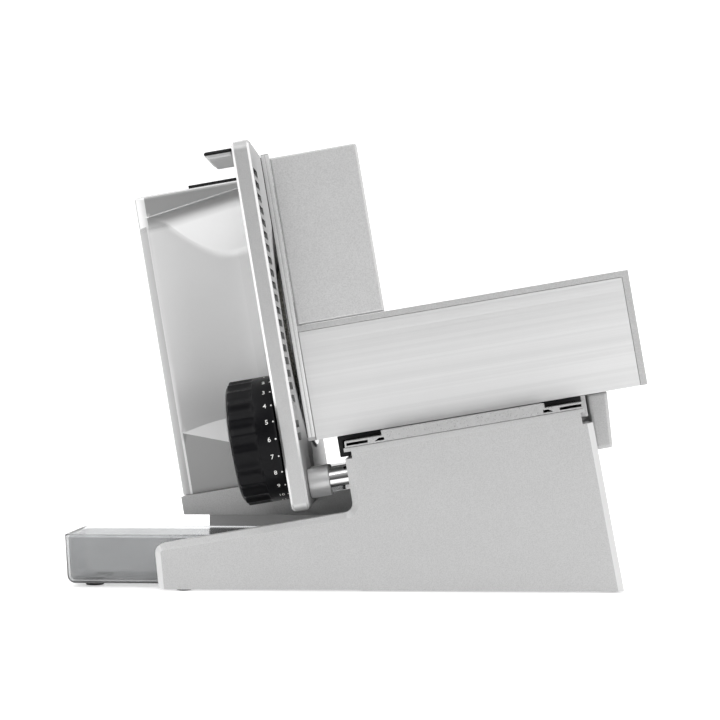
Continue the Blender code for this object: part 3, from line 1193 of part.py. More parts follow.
def guide_parts(parent):
    """The bushes, the bracket and the nut inside the base that guide the stop plate."""
    bush_right = BASE_TOP_LEFT_ACROSS + BLOCK_LEFT_WALL
    for name, depth in (("rod_bush_front", FRONT_ROD_DEPTH), ("rod_bush_rear", REAR_ROD_DEPTH)):
        bush = ring(name, ROD_RADIUS + FIT_GAP + ROD_BUSH_WALL, ROD_RADIUS + FIT_GAP,
                    bush_right - ROD_BUSH_LENGTH, bush_right)
        add_part(name, moved(bush, (0, depth, ROD_UP)), black_plastic(), parent)
    left = BRACKET_LEFT_ACROSS
    right = left + BRACKET_LENGTH
    top = BASE_TOP_UP - BASE_WALL - FIT_GAP
    web = top - BASE_WALL
    bottom = ROD_UP - BRACKET_MARGIN
    outline = [(left, bottom), (left + BRACKET_EAR, bottom), (left + BRACKET_EAR, web),
               (right - BRACKET_EAR, web), (right - BRACKET_EAR, bottom), (right, bottom),
               (right, top), (left, top)]
    bracket = extruded("rod_bracket", outline, FRONT_ROD_DEPTH - BRACKET_MARGIN,
                       REAR_ROD_DEPTH + BRACKET_MARGIN, "Y")
    for depth in (FRONT_ROD_DEPTH, REAR_ROD_DEPTH):
        bracket = cut(bracket, cylinder("rod_hole", ROD_RADIUS + FIT_GAP, left - BRACKET_EAR,
                                        left + 2 * BRACKET_EAR, (depth, ROD_UP), 24))
    bracket = cut(bracket, cylinder("nut_hole", NUT_RADIUS + FIT_GAP, right - 2 * BRACKET_EAR,
                                    right + BRACKET_EAR, (FRONT_ROD_DEPTH, ROD_UP)))
    add_part("rod_bracket", bracket, aluminium(), parent)
    nut_middle = right - BRACKET_EAR / 2
    nut = ring("spindle_nut", NUT_RADIUS, SPINDLE_RADIUS + FIT_GAP, nut_middle - NUT_LENGTH / 2,
               nut_middle + NUT_LENGTH / 2)
    add_part("spindle_nut", moved(nut, (0, FRONT_ROD_DEPTH, ROD_UP)), brass(), parent)


def carriage_parts(parent):
    """The food carriage: frame, steel cladding, hand guard, glides and pull."""
    left = CARRIAGE_LEFT_ACROSS
    right = CARRIAGE_RIGHT_ACROSS
    front = CARRIAGE_FRONT
    back = front + CARRIAGE_DEPTH
    inner = front + CARRIAGE_WALL
    bottom = CARRIAGE_FLOOR_BOTTOM_UP
    strip_right = left + EDGE_STRIP_WIDTH
    profile = [(front, bottom), (back, bottom), (back, CARRIAGE_FLOOR_UP + CARRIAGE_LIP_HEIGHT),
               (back - CARRIAGE_WALL / 2, CARRIAGE_FLOOR_UP + CARRIAGE_LIP_HEIGHT),
               (back - CARRIAGE_WALL / 2, CARRIAGE_FLOOR_UP), (inner, CARRIAGE_FLOOR_UP),
               (inner, CARRIAGE_WALL_TOP_UP), (front, CARRIAGE_WALL_TOP_UP)]
    frame = extruded("frame", profile, left, right, "X")
    frame = joined(frame, block("strip", (left, front, CARRIAGE_WALL_TOP_UP / 2),
                                (strip_right, inner, EDGE_STRIP_TOP_UP)))
    panel_right = right - PANEL_RIGHT_MARGIN
    panel_top = CARRIAGE_WALL_TOP_UP - PANEL_TOP_MARGIN
    frame = cut(frame, block("recess", (strip_right, front - CARRIAGE_WALL, bottom - FIT_GAP),
                             (panel_right, front + PANEL_THICKNESS + FIT_GAP, panel_top)))
    add_part("carriage_frame", frame, silver_paint(), parent)
    panel = block("panel", (strip_right + FIT_GAP, front, bottom),
                  (panel_right - FIT_GAP, front + PANEL_THICKNESS, panel_top - FIT_GAP))
    add_part("carriage_panel", panel, brushed_steel(), parent)
    floor = block("floor", (strip_right, inner + FIT_GAP, CARRIAGE_FLOOR_UP + FIT_GAP),
                  (panel_right, back - CARRIAGE_WALL / 2 - FIT_GAP,
                   CARRIAGE_FLOOR_UP + FIT_GAP + PANEL_THICKNESS))
    add_part("carriage_floor", floor, brushed_steel(), parent)
    guard_left = strip_right + FIT_GAP
    guard_bottom = CARRIAGE_WALL_TOP_UP + FIT_GAP
    guard_outline = rounded([(guard_left, guard_bottom, 0),
                             (guard_left + GUARD_WIDTH, guard_bottom, 0),
                             (guard_left + GUARD_WIDTH, GUARD_TOP_UP, GUARD_CORNER_RADIUS),
                             (guard_left, GUARD_TOP_UP, 0)])
    guard_front = front + (CARRIAGE_WALL - GUARD_THICKNESS) / 2
    guard = extruded("guard", guard_outline, guard_front, guard_front + GUARD_THICKNESS, "Y",
                     GUARD_BEVEL, GUARD_BEVEL)
    add_part("hand_guard", guard, silver_paint(), parent)
    glide_top = bottom - FIT_GAP
    pad_bottom = RAIL_TOP_UP - RAIL_STEP_DROP + FIT_GAP
    glide_front = front + GLIDE_MARGIN
    glide_back = back - GLIDE_MARGIN
    wall = BASE_TOP_LEFT_ACROSS - GROOVE_LIP * 0.65
    hook_top = GROOVE_TOP_UP - GROOVE_HEIGHT * 0.25
    pad_right = RAIL_LEFT_ACROSS + RAIL_STEP_WIDTH - FIT_GAP
    left_outline = [(wall - GLIDE_FLANGE, glide_top), (pad_right, glide_top),
                    (pad_right, pad_bottom), (wall, pad_bottom), (wall, hook_top),
                    (wall + GLIDE_HOOK_REACH, hook_top),
                    (wall + GLIDE_HOOK_REACH, hook_top - GLIDE_HOOK_HEIGHT),
                    (wall - GLIDE_FLANGE, hook_top - GLIDE_HOOK_HEIGHT)]
    add_part("glide_left", extruded("glide", left_outline, glide_front, glide_back, "Y"),
             black_plastic(), parent)
    wall = BASE_TOP_RIGHT_ACROSS + GROOVE_LIP * 0.8
    pad_left = RAIL_RIGHT_ACROSS - RAIL_STEP_WIDTH + FIT_GAP
    pad_end = wall - FIT_GAP
    right_outline = [(pad_left, glide_top), (pad_end, glide_top), (pad_end, pad_bottom),
                     (pad_left, pad_bottom)]
    add_part("glide_right", extruded("glide", right_outline, glide_front, glide_back, "Y"),
             black_plastic(), parent)
    hook_end = wall - GLIDE_HOOK_REACH + GROOVE_LIP * 0.2
    hook_outline = [(wall, glide_top), (wall + GLIDE_FLANGE, glide_top),
                    (wall + GLIDE_FLANGE, hook_top - GLIDE_HOOK_HEIGHT),
                    (hook_end, hook_top - GLIDE_HOOK_HEIGHT), (hook_end, hook_top),
                    (wall, hook_top)]
    add_part("carriage_hook", extruded("hook", hook_outline, glide_front, glide_back, "Y"),
             aluminium(), parent)
    pull_right = PULL_LEFT_ACROSS + PULL_THICKNESS
    pull = [(PULL_LEFT_ACROSS, glide_top), (pull_right + PULL_FLARE, glide_top),
            (pull_right, glide_top - PULL_DROP), (PULL_LEFT_ACROSS, glide_top - PULL_DROP)]
    add_part("carriage_pull", extruded("pull", pull, PULL_FRONT, PULL_FRONT + PULL_LENGTH, "Y",
                                       PULL_EDGE, PULL_EDGE), silver_paint(), parent)


def tray_parts(parent):
    """The slice tray and its four feet."""
    back = TRAY_FRONT + TRAY_DEPTH
    plan = rounded([(TRAY_LEFT_X, TRAY_FRONT, TRAY_CORNER_RADIUS),
                    (TRAY_RIGHT_X, TRAY_FRONT, TRAY_CORNER_RADIUS),
                    (TRAY_RIGHT_X, back, TRAY_CORNER_RADIUS),
                    (TRAY_LEFT_X, back, TRAY_CORNER_RADIUS)], 5)

    def flat(point, level):
        return (point[0], point[1], level)

    def shell(name, wall, low, high):
        edge = TRAY_BOTTOM_RADIUS - wall
        rings = []
        for turn in (0, 30, 60, 90):
            lift = edge * (1 - math.cos(math.radians(turn)))
            shrink = edge * (1 - math.sin(math.radians(turn)))
            rings.append((inset(plan, wall + TRAY_DRAFT + shrink), low + lift))
        rings.append((inset(plan, wall), high))
        return stacked(name, rings, flat)

    tray = cut(shell("tray", 0.0, TRAY_BOTTOM, TRAY_TOP),
               shell("inside", TRAY_WALL, TRAY_BOTTOM + TRAY_WALL, TRAY_TOP + TRAY_WALL))
    add_part("slice_tray", tray, smoky_plastic(), parent)
    top = TRAY_BOTTOM - FIT_GAP
    for side, x in (("left", TRAY_LEFT_X + TRAY_FOOT_INSET),
                    ("right", TRAY_RIGHT_X - TRAY_FOOT_INSET)):
        for end, depth in (("front", TRAY_FRONT + TRAY_FOOT_INSET),
                           ("rear", back - TRAY_FOOT_INSET)):
            foot = turned("foot", [(0, 0), (0, TRAY_FOOT_RADIUS * 0.75),
                                   (top / 2, TRAY_FOOT_RADIUS), (top, TRAY_FOOT_RADIUS),
                                   (top, 0)], SMALL_ROUND_STEPS, "Z")
            add_part(f"tray_foot_{end}_{side}", moved(foot, (x, depth, 0)), black_rubber(), parent)


def centre_on_footprint(origin):
    """Put the machine's origin under the middle of its footprint."""
    bpy.context.view_layer.update()
    corners = [part.matrix_world @ vertex.co for part in bpy.data.objects if part.type == "MESH"
               for vertex in part.data.vertices]
    for axis in range(2):
        values = [corner[axis] for corner in corners]
        origin.location[axis] = -(min(values) + max(values)) / 2
    origin.location[2] = -min(corner[2] for corner in corners)


def main():
    for leftover in list(bpy.data.objects):
        bpy.data.objects.remove(leftover)
    origin = add_frame("slicer_origin", None)
    base_housing(origin)
    bottom_parts(origin)
    cord_gland(origin)
    tray_parts(add_frame("tray_slide", origin))
    upper = add_frame("leaning_works", origin, (CUT_LINE_X, 0, CUT_LINE_Z), LEAN_ANGLE)
    carriage_rail(upper)
    guide_parts(upper)
    drive_plate(upper)
    motor_housing(upper)
    switch_parts(upper)
    drive_parts(upper)
    blade_parts(upper)
    stop_slide = add_frame("stop_slide", upper)
    stop_parts(stop_slide)
    dial_parts(stop_slide)
    carriage_parts(add_frame("carriage_slide", upper))
    centre_on_footprint(origin)


main()
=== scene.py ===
"""The looks of an electric food slicer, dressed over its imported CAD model.

Everything is in metres in the model's own frame: +Z up, the user at -Y, the carriage on the
right. The blade, stop plate, carriage and motor housing lean together, so most places are
given in a leaning frame of (across, depth, up): across points along the blade's axle, depth
away from the front of the base, and up along the blade's face.
"""
import json
import math

import bmesh
import bpy
from mathutils import Matrix, Vector

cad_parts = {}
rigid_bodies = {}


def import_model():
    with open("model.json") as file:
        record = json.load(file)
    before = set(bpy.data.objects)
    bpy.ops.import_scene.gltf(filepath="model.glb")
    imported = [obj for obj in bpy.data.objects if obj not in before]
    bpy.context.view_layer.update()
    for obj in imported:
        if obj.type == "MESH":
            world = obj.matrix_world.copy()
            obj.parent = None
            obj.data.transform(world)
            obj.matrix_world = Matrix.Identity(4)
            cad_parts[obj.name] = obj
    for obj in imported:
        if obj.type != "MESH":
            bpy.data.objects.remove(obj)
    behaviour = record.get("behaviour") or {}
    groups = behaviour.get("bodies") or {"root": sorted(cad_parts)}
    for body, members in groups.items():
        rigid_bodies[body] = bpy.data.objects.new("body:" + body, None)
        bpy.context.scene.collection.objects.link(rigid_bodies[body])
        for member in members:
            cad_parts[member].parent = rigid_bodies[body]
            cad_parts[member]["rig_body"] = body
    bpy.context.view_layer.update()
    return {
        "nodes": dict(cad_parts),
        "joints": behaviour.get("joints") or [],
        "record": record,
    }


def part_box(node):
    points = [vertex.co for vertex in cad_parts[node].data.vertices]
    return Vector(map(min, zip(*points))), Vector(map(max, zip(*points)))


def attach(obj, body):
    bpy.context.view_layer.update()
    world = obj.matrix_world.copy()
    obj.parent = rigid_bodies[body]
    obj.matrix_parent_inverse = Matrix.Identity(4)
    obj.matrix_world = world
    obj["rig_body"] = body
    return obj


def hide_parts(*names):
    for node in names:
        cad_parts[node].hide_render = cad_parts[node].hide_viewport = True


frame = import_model()
NODES = frame["nodes"]
JOINTS = {joint["name"]: joint for joint in frame["joints"]}

# The leaning frame, from the blade's axle
BLADE_DEPTH = 0.137
BLADE_UP = 0.078
AXLE_DIRECTION = Vector(JOINTS["blade_spin"]["axis"]).normalized()
LEAN = math.atan2(AXLE_DIRECTION.z, AXLE_DIRECTION.x)
UP_DIRECTION = Vector((-AXLE_DIRECTION.z, 0, AXLE_DIRECTION.x))
AXLE_POINT = Vector(JOINTS["blade_spin"]["pos_m"])
FRONT_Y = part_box("base_housing")[0].y
WORKS_ORIGIN = AXLE_POINT - UP_DIRECTION * BLADE_UP
WORKS_ORIGIN.y = FRONT_Y
LEANING = Matrix.Translation(WORKS_ORIGIN) @ Matrix.Rotation(-LEAN, 4, "Y")

# Sizes shared with the solids
BLADE_RADIUS = 0.085
BLADE_THICKNESS = 0.0014
HOUSING_LEFT = -0.099
HOUSING_RIGHT = -0.0133
HOUSING_BOTTOM = -0.0260
HOUSING_TOP = 0.190
HOUSING_FRONT = 0.095
HOUSING_BACK = 0.223
DIAL_RADIUS = 0.0425
DIAL_DEPTH = 0.046
DIAL_UP = 0.0043
DIAL_LEFT = -0.0465
DIAL_RIGHT = -0.0160
FLUTE_COUNT = 23
ROD_RADIUS = 0.008
ROD_UP = -0.0298
ROD_DEPTHS = {"front": 0.038, "rear": 0.066}


def lean(across, depth, up):
    """A point of the leaning frame in the model's frame."""
    return LEANING @ Vector((across, depth, up))


# Node materials, with the scales of their textures in repeats for each metre

FLAKE_SCALE = 1500
COAT_CLOUD_SCALE = 60
ENAMEL_CLOUD_SCALE = 22
ENAMEL_GRAIN_SCALE = 500
SMEAR_SCALE = 60
TURNING_SCALE = 900
PATCH_SCALE = 90
PLASTIC_GRAIN_SCALE = 1400
RUBBER_GRAIN_SCALE = 2200
PRINT_GRAIN_SCALE = 2600
GLOSSY_GRAIN_SCALE = 700
FLOW_SCALE = 35
WEAR_SCALE = 240
STREAK_SHARE = 0.22


def new_material(name, colour, roughness, metallic=0.0):
    """A Principled material with its node tree and shader, ready for textures."""
    made = bpy.data.materials.new(name)
    made.use_nodes = True
    shader = made.node_tree.nodes["Principled BSDF"]
    shader.inputs["Base Color"].default_value = (*colour, 1.0)
    shader.inputs["Roughness"].default_value = roughness
    shader.inputs["Metallic"].default_value = metallic
    return made, made.node_tree, shader


def place_coordinates(tree, stretch=(1, 1, 1), turn=(0, 0, 0)):
    """Object coordinates, turned and then stretched."""
    source = tree.nodes.new("ShaderNodeTexCoord")
    turned = tree.nodes.new("ShaderNodeMapping")
    turned.inputs["Rotation"].default_value = turn
    stretched = tree.nodes.new("ShaderNodeMapping")
    stretched.inputs["Scale"].default_value = stretch
    tree.links.new(source.outputs["Object"], turned.inputs["Vector"])
    tree.links.new(turned.outputs["Vector"], stretched.inputs["Vector"])
    return stretched.outputs["Vector"]


def noise(tree, vector, scale, detail=2.0, roughness=0.5):
    """A noise texture's value."""
    node = tree.nodes.new("ShaderNodeTexNoise")
    node.inputs["Scale"].default_value = scale
    node.inputs["Detail"].default_value = detail
    node.inputs["Roughness"].default_value = roughness
    tree.links.new(vector, node.inputs["Vector"])
    return node.outputs["Fac"]


def ramp(tree, value, stops):
    """A colour ramp from (position, colour) stops."""
    node = tree.nodes.new("ShaderNodeValToRGB")
    elements = node.color_ramp.elements
    while len(elements) < len(stops):
        elements.new(0.5)
    for element, (position, colour) in zip(elements, stops):
        element.position = position
        element.color = (*colour, 1.0)
    tree.links.new(value, node.inputs["Fac"])
    return node.outputs["Color"]


def spread(tree, value, low, high, from_low=0.3, from_high=0.7):
    """A texture value mapped onto a range of numbers."""
    node = tree.nodes.new("ShaderNodeMapRange")
    node.inputs["From Min"].default_value = from_low
    node.inputs["From Max"].default_value = from_high
    node.inputs["To Min"].default_value = low
    node.inputs["To Max"].default_value = high
    tree.links.new(value, node.inputs["Value"])
    return node.outputs["Result"]


def mixed(tree, first, second, share):
    """A colour multiplied by a second one, by a fixed share."""
    node = tree.nodes.new("ShaderNodeMix")
    node.data_type = "RGBA"
    node.blend_type = "MULTIPLY"
    node.inputs["Factor"].default_value = share
    tree.links.new(first, node.inputs["A"])
    tree.links.new(second, node.inputs["B"])
    return node.outputs["Result"]


def bump(tree, shader, height, strength, distance):
    """Relief on a shader, from a texture's value."""
    node = tree.nodes.new("ShaderNodeBump")
    node.inputs["Strength"].default_value = strength
    node.inputs["Distance"].default_value = distance
    tree.links.new(height, node.inputs["Height"])
    tree.links.new(node.outputs["Normal"], shader.inputs["Normal"])


def grey(level, warmth=0.0):
    """A grey of a level, a little red when warm and a little blue when cold."""
    return (level * (1 + warmth), level, level * (1 - warmth))


def silver_paint(name, level, contrast, metallic=0.45, gloss=0.38, grain=0.06):
    """Metallic silver paint: a fine sparkle of flakes over a slightly uneven coat."""
    made, tree, shader = new_material(name, grey(level), gloss, metallic)
    place = place_coordinates(tree)
    flakes = noise(tree, place, FLAKE_SCALE, 1.0, 0.6)
    clouds = noise(tree, place, COAT_CLOUD_SCALE)
    speckle = ramp(tree, flakes, [(0.30, grey(level * (1 - contrast))),
                                  (0.50, grey(level)),
                                  (0.70, grey(min(1.0, level * (1 + contrast * 0.8))))])
    shade = ramp(tree, clouds, [(0.25, grey(0.97)), (0.75, grey(1.0))])
    tree.links.new(mixed(tree, speckle, shade, 0.7), shader.inputs["Base Color"])
    tree.links.new(spread(tree, flakes, gloss - 0.06, gloss + 0.08), shader.inputs["Roughness"])
    bump(tree, shader, noise(tree, place, FLAKE_SCALE, 2.0, 0.6), grain, 0.0002)
    return made


def smooth_silver(name, level, gloss, metallic):
    """Smooth silver enamel without visible flakes, a little cloudy."""
    made, tree, shader = new_material(name, grey(level), gloss, metallic)
    place = place_coordinates(tree)
    clouds = noise(tree, place, ENAMEL_CLOUD_SCALE)
    tint = ramp(tree, clouds, [(0.3, grey(level * 0.98)), (0.7, grey(level))])
    tree.links.new(tint, shader.inputs["Base Color"])
    tree.links.new(spread(tree, clouds, gloss - 0.02, gloss + 0.02), shader.inputs["Roughness"])
    bump(tree, shader, noise(tree, place, ENAMEL_GRAIN_SCALE, 1.0), 0.01, 0.0001)
    return made


def brushed_metal(name, level, stretch, contrast=0.10, gloss=0.30):
    """Brushed metal whose fine grain runs along one direction of the leaning frame."""
    made, tree, shader = new_material(name, grey(level), gloss, 1.0)
    grain_turn = (0, LEAN, 0)
    grain = noise(tree, place_coordinates(tree, stretch, grain_turn), 1.0, 4.0, 0.65)
    wide = [scale * STREAK_SHARE for scale in stretch]
    streaks = noise(tree, place_coordinates(tree, wide, grain_turn), 1.0)
    lines = ramp(tree, grain, [(0.30, grey(level * (1 - contrast))), (0.70, grey(level))])
    bands = ramp(tree, streaks, [(0.35, grey(0.95)), (0.65, grey(1.0))])
    tree.links.new(mixed(tree, lines, bands, 1.0), shader.inputs["Base Color"])
    tree.links.new(spread(tree, grain, gloss - 0.05, gloss + 0.10), shader.inputs["Roughness"])
    bump(tree, shader, grain, 0.10, 0.0001)
    return made


def polished(name, level, gloss, warmth=0.0):
    """Bright turned metal with faint smears."""
    made, tree, shader = new_material(name, grey(level, warmth), gloss, 1.0)
    place = place_coordinates(tree)
    smears = noise(tree, place, SMEAR_SCALE, 3.0, 0.6)
    tint = ramp(tree, smears, [(0.3, grey(level * 0.94, warmth)), (0.7, grey(level, warmth))])
    tree.links.new(tint, shader.inputs["Base Color"])
    tree.links.new(spread(tree, smears, gloss * 0.8, gloss * 1.6), shader.inputs["Roughness"])
    bump(tree, shader, noise(tree, place, TURNING_SCALE, 1.0), 0.02, 0.0001)
    return made


def moulded(name, colour, gloss, grain=PLASTIC_GRAIN_SCALE, depth=0.15, shine=0.5):
    """Moulded plastic with a fine spark-eroded grain."""
    made, tree, shader = new_material(name, colour, gloss)
    shader.inputs["Specular IOR Level"].default_value = shine
    place = place_coordinates(tree)
    texture = noise(tree, place, grain, 2.0, 0.6)
    patches = noise(tree, place, PATCH_SCALE, 3.0, 0.6)
    dark = tuple(part * 0.82 for part in colour)
    light = tuple(min(1.0, part * 1.12) for part in colour)
    tree.links.new(ramp(tree, patches, [(0.3, dark), (0.7, light)]), shader.inputs["Base Color"])
    tree.links.new(spread(tree, texture, gloss - 0.05, gloss + 0.10), shader.inputs["Roughness"])
    bump(tree, shader, texture, depth, 0.0002)
    return made


def clear_smoke(name, level):
    """Transparent smoky plastic with slight flow marks and worn edges."""
    made, tree, shader = new_material(name, grey(level), 0.04)
    shader.inputs["Transmission Weight"].default_value = 0.96
    shader.inputs["IOR"].default_value = 1.45
    place = place_coordinates(tree)
    flow = noise(tree, place, FLOW_SCALE)
    tint = ramp(tree, flow, [(0.3, grey(level * 0.95, -0.01)), (0.7, grey(level * 1.05, -0.01))])
    tree.links.new(tint, shader.inputs["Base Color"])
    wear = noise(tree, place, WEAR_SCALE, 3.0, 0.6)
    tree.links.new(spread(tree, wear, 0.03, 0.09), shader.inputs["Roughness"])
    bump(tree, shader, flow, 0.03, 0.0004)
    return made


SILVER = silver_paint("silver_paint_cast", 0.56, 0.10)
SILVER_FINE = smooth_silver("silver_paint_fine", 0.88, 0.34, 0.34)
# Painted shade: a darker copy of the housing's paint for its flat front above the brow and below
# the ledge
SILVER_FACE_SHADE = smooth_silver("silver_paint_face_shade", 0.40, 0.40, 0.60)
# Painted highlight: a bright copy of the paint for the brow's rounding and the stop plate's front
# edges
SILVER_EDGE_HIGHLIGHT = smooth_silver("silver_paint_edge_highlight", 0.95, 0.22, 0.60)
# A dull darker silver: painted shade on the housing's outer walls, tops and left corner, and the
# drive plate's own finish too
SILVER_DULL_SHADE = smooth_silver("silver_paint_dull_shade", 0.50, 0.50, 0.15)
# Painted shade: a dark copy of the base's paint for the walls in the shadow under the housing's
# shelf
SILVER_BAY_SHADE = silver_paint("silver_paint_bay_shade", 0.25, 0.06, 0.10, 0.60, 0.04)
# Painted highlight: a lighter copy of the base's paint for the rounding of its right edge and its
# leg's left
SILVER_RIM_HIGHLIGHT = smooth_silver("silver_paint_rim_highlight", 0.72, 0.30, 0.60)
# Painted shade: a darker copy of the plate's paint for the stop plate's food face
SILVER_SIDE_SHADE = silver_paint("silver_paint_side_shade", 0.42, 0.10, 0.20, 0.50, 0.05)
SILVER_STRIP = silver_paint("silver_paint_strip", 0.82, 0.05, 0.45, 0.36, 0.02)
SILVER_GUARD = silver_paint("silver_paint_guard", 0.66, 0.10)
SILVER_SATIN = smooth_silver("silver_paint_satin", 0.88, 0.38, 0.35)
RIM_GREY = smooth_silver("rim_grey", 0.22, 0.50, 0.50)
# Painted shade: a near-black material for the shadowed floors and walls of the stop plate's slots
SLOT_PAINTED_SHADE = moulded("slot_shaded", (0.035, 0.035, 0.036), 0.60)
SILVER_PLATE = silver_paint("silver_paint_plate", 0.60, 0.05, 0.60, 0.36, 0.02)
SILVER_DARK = silver_paint("silver_paint_shaded", 0.46, 0.10)
BRUSHED = brushed_metal("brushed_panel", 0.90, (1.6, 500, 1500), contrast=0.05, gloss=0.42)
BRUSHED_ROUND = brushed_metal("brushed_round", 0.62, (60, 60, 60))
CHROME = polished("chrome_bright", 0.82, 0.05)
SATIN = polished("satin_turned", 0.62, 0.24)
ALUMINIUM = brushed_metal("drawn_aluminium", 0.66, (900, 6, 900))
BRASS = polished("brass_turned", 0.55, 0.22, warmth=0.32)
BLACK = moulded("black_moulding", (0.014, 0.014, 0.015), 0.42, shine=0.30)
BLACK_GLOSS = moulded("black_dial_moulding", (0.004, 0.004, 0.005), 0.34,
                      GLOSSY_GRAIN_SCALE, depth=0.04, shine=0.14)
WHITE = moulded("natural_gear_plastic", (0.70, 0.69, 0.64), 0.42)
PRINT = moulded("white_print", (0.86, 0.86, 0.84), 0.50, PRINT_GRAIN_SCALE, depth=0.05)
RUBBER = moulded("black_rubber_moulding", (0.014, 0.014, 0.014), 0.72, RUBBER_GRAIN_SCALE,
                 depth=0.30, shine=0.30)
SMOKE = clear_smoke("smoky_clear_plastic", 0.47)
RIM_CLEAR = clear_smoke("clear_plastic_rim", 0.86)


# Building and dressing pieces

BEVEL_ANGLE = 32
SHARP_ANGLE = 40
WELD_DISTANCE = 0.000004
FLAT_ANGLE = 0.7
WIDE_BEVEL_STEPS = 5


def mesh_of(shape, name, place=None):
    """The mesh of a finished shape, moved to its place where one is given."""
    mesh = bpy.data.meshes.new(name)
    shape.to_mesh(mesh)
    shape.free()
    if place is not None:
        mesh.transform(place)
    return mesh


def link(name, data):
    """A new object in the scene."""
    made = bpy.data.objects.new(name, data)
    bpy.context.scene.collection.objects.link(made)
    return made


def evaluated_mesh(holder):
    """The mesh of an object after its modifiers or its text; the object itself goes."""
    bpy.context.view_layer.update()
    evaluated = holder.evaluated_get(bpy.context.evaluated_depsgraph_get())
    result = bpy.data.meshes.new_from_object(evaluated)
    bpy.data.objects.remove(holder)
    return result


def new_piece(name, mesh, body, slot, finish, *replaced, smooth=35):
    """A finished piece of the object that rides on a body and stands for CAD nodes."""
    mesh.name = name
    piece = link(name, mesh)
    mesh.materials.clear()
    mesh.materials.append(finish)
    if smooth:
        mesh.shade_smooth()
        mesh.set_sharp_from_angle(angle=math.radians(smooth))
    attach(piece, body)
    if replaced:
        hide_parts(*replaced)
    return piece


def applied(mesh, *modifiers):
    """The mesh after modifiers, each given as (type, {setting: value})."""
    holder = link("holder", mesh)
    for kind, settings in modifiers:
        modifier = holder.modifiers.new(kind.lower(), kind)
        for setting, value in settings.items():
            setattr(modifier, setting, value)
    return evaluated_mesh(holder)


def bevelled(width, segments):
    """Settings of a bevel modifier for the sharp edges."""
    return ("BEVEL", {"width": width, "segments": segments, "limit_method": "ANGLE",
                      "angle_limit": math.radians(BEVEL_ANGLE), "harden_normals": False,
                      "miter_outer": "MITER_ARC", "use_clamp_overlap": True})


def node_mesh(node):
    """A clean copy of a CAD node's mesh: split corners welded, flat faces whole again."""
    mesh = NODES[node].data.copy()
    shape = bmesh.new()
    shape.from_mesh(mesh)
    bmesh.ops.remove_doubles(shape, verts=shape.verts, dist=WELD_DISTANCE)
    bmesh.ops.dissolve_limit(shape, angle_limit=math.radians(FLAT_ANGLE), verts=shape.verts,
                             edges=shape.edges)
    shape.to_mesh(mesh)
    shape.free()
    return mesh


def widened(mesh, width, chosen):
    """The mesh with a wide rounding on the edges that a test of both ends chooses."""
    back_turned = LEANING.inverted()
    shape = bmesh.new()
    shape.from_mesh(mesh)
    weights = shape.edges.layers.float.new("bevel_weight_edge")
    for edge in shape.edges:
        ends = [back_turned @ vertex.co for vertex in edge.verts]
        if len(edge.link_faces) == 2 and chosen(*ends):
            edge[weights] = 1.0
    shape.to_mesh(mesh)
    shape.free()
    return applied(mesh, ("BEVEL", {"width": width, "segments": WIDE_BEVEL_STEPS,
                                    "limit_method": "WEIGHT", "use_clamp_overlap": True,
                                    "miter_outer": "MITER_ARC"}))


def refinish(piece, finish, chosen):
    """A second finish for the faces of a piece that a test of place and facing chooses."""
    piece.data.materials.append(finish)
    index = len(piece.data.materials) - 1
    back_turned = LEANING.inverted()
    facing = back_turned.to_3x3()
    for face in piece.data.polygons:
        if chosen(back_turned @ face.center, facing @ face.normal):
            face.material_index = index


def dressed(node, width, finish, segments, wide=None):
    """A CAD node shown with its edges rounded to a real radius."""
    source = NODES[node]
    mesh = node_mesh(node)
    if wide:
        mesh = widened(mesh, *wide)
    mesh = applied(mesh, bevelled(width, segments))
    mesh.shade_smooth()
    mesh.set_sharp_from_angle(angle=math.radians(SHARP_ANGLE))
    mesh = applied(mesh, ("WEIGHTED_NORMAL", {"keep_sharp": True, "weight": 60}))
    slot = next(part["material_slot"] for part in frame["record"]["subparts"]
                if part["node"] == node)
    return new_piece(f"{node}_dressed", mesh, source["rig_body"], slot, finish, node, smooth=0)


def lathe(profile, steps, place=None):
    """A closed surface turned about the local X axis from (level, radius) points."""
    shape = bmesh.new()
    rows = []
    for level, radius in profile:
        if radius <= 0:
            rows.append([shape.verts.new((level, 0, 0))])
            continue
        turns = [2 * math.pi * step / steps for step in range(steps)]
        rows.append([shape.verts.new((level, radius * math.cos(turn), radius * math.sin(turn)))
                     for turn in turns])
    ring = profile[0][1] > 0
    for index in range(len(rows) if ring else len(rows) - 1):
        low = rows[index]
        high = rows[(index + 1) % len(rows)]
        for step in range(steps):
            after = (step + 1) % steps
            corners = [low[step % len(low)], low[after % len(low)],
                       high[after % len(high)], high[step % len(high)]]
            shape.faces.new(list(dict.fromkeys(corners)))
    bmesh.ops.recalc_face_normals(shape, faces=shape.faces)
    return mesh_of(shape, "lathe", place)


def lean_place(depth, up):
    """The placing of a piece that was turned about the across axis."""
    return LEANING @ Matrix.Translation((0, depth, up))


def eased(profile, radius):
    """A (level, radius) profile whose corners are rounded by a small radius."""
    steps = 3
    points = []
    for index, (level, distance) in enumerate(profile):
        here = Vector((level, distance))
        if distance <= 0:
            points.append((level, distance))
            continue
        before = Vector(profile[index - 1]) - here
        after = Vector(profile[(index + 1) % len(profile)]) - here
        reach = min(radius, before.length * 0.45, after.length * 0.45)
        first = here + before.normalized() * reach
        last = here + after.normalized() * reach
        for step in range(steps + 1):
            share = step / steps
            point = first.lerp(here, share).lerp(here.lerp(last, share), share)
            points.append(tuple(point))
    return points


# Motor housing

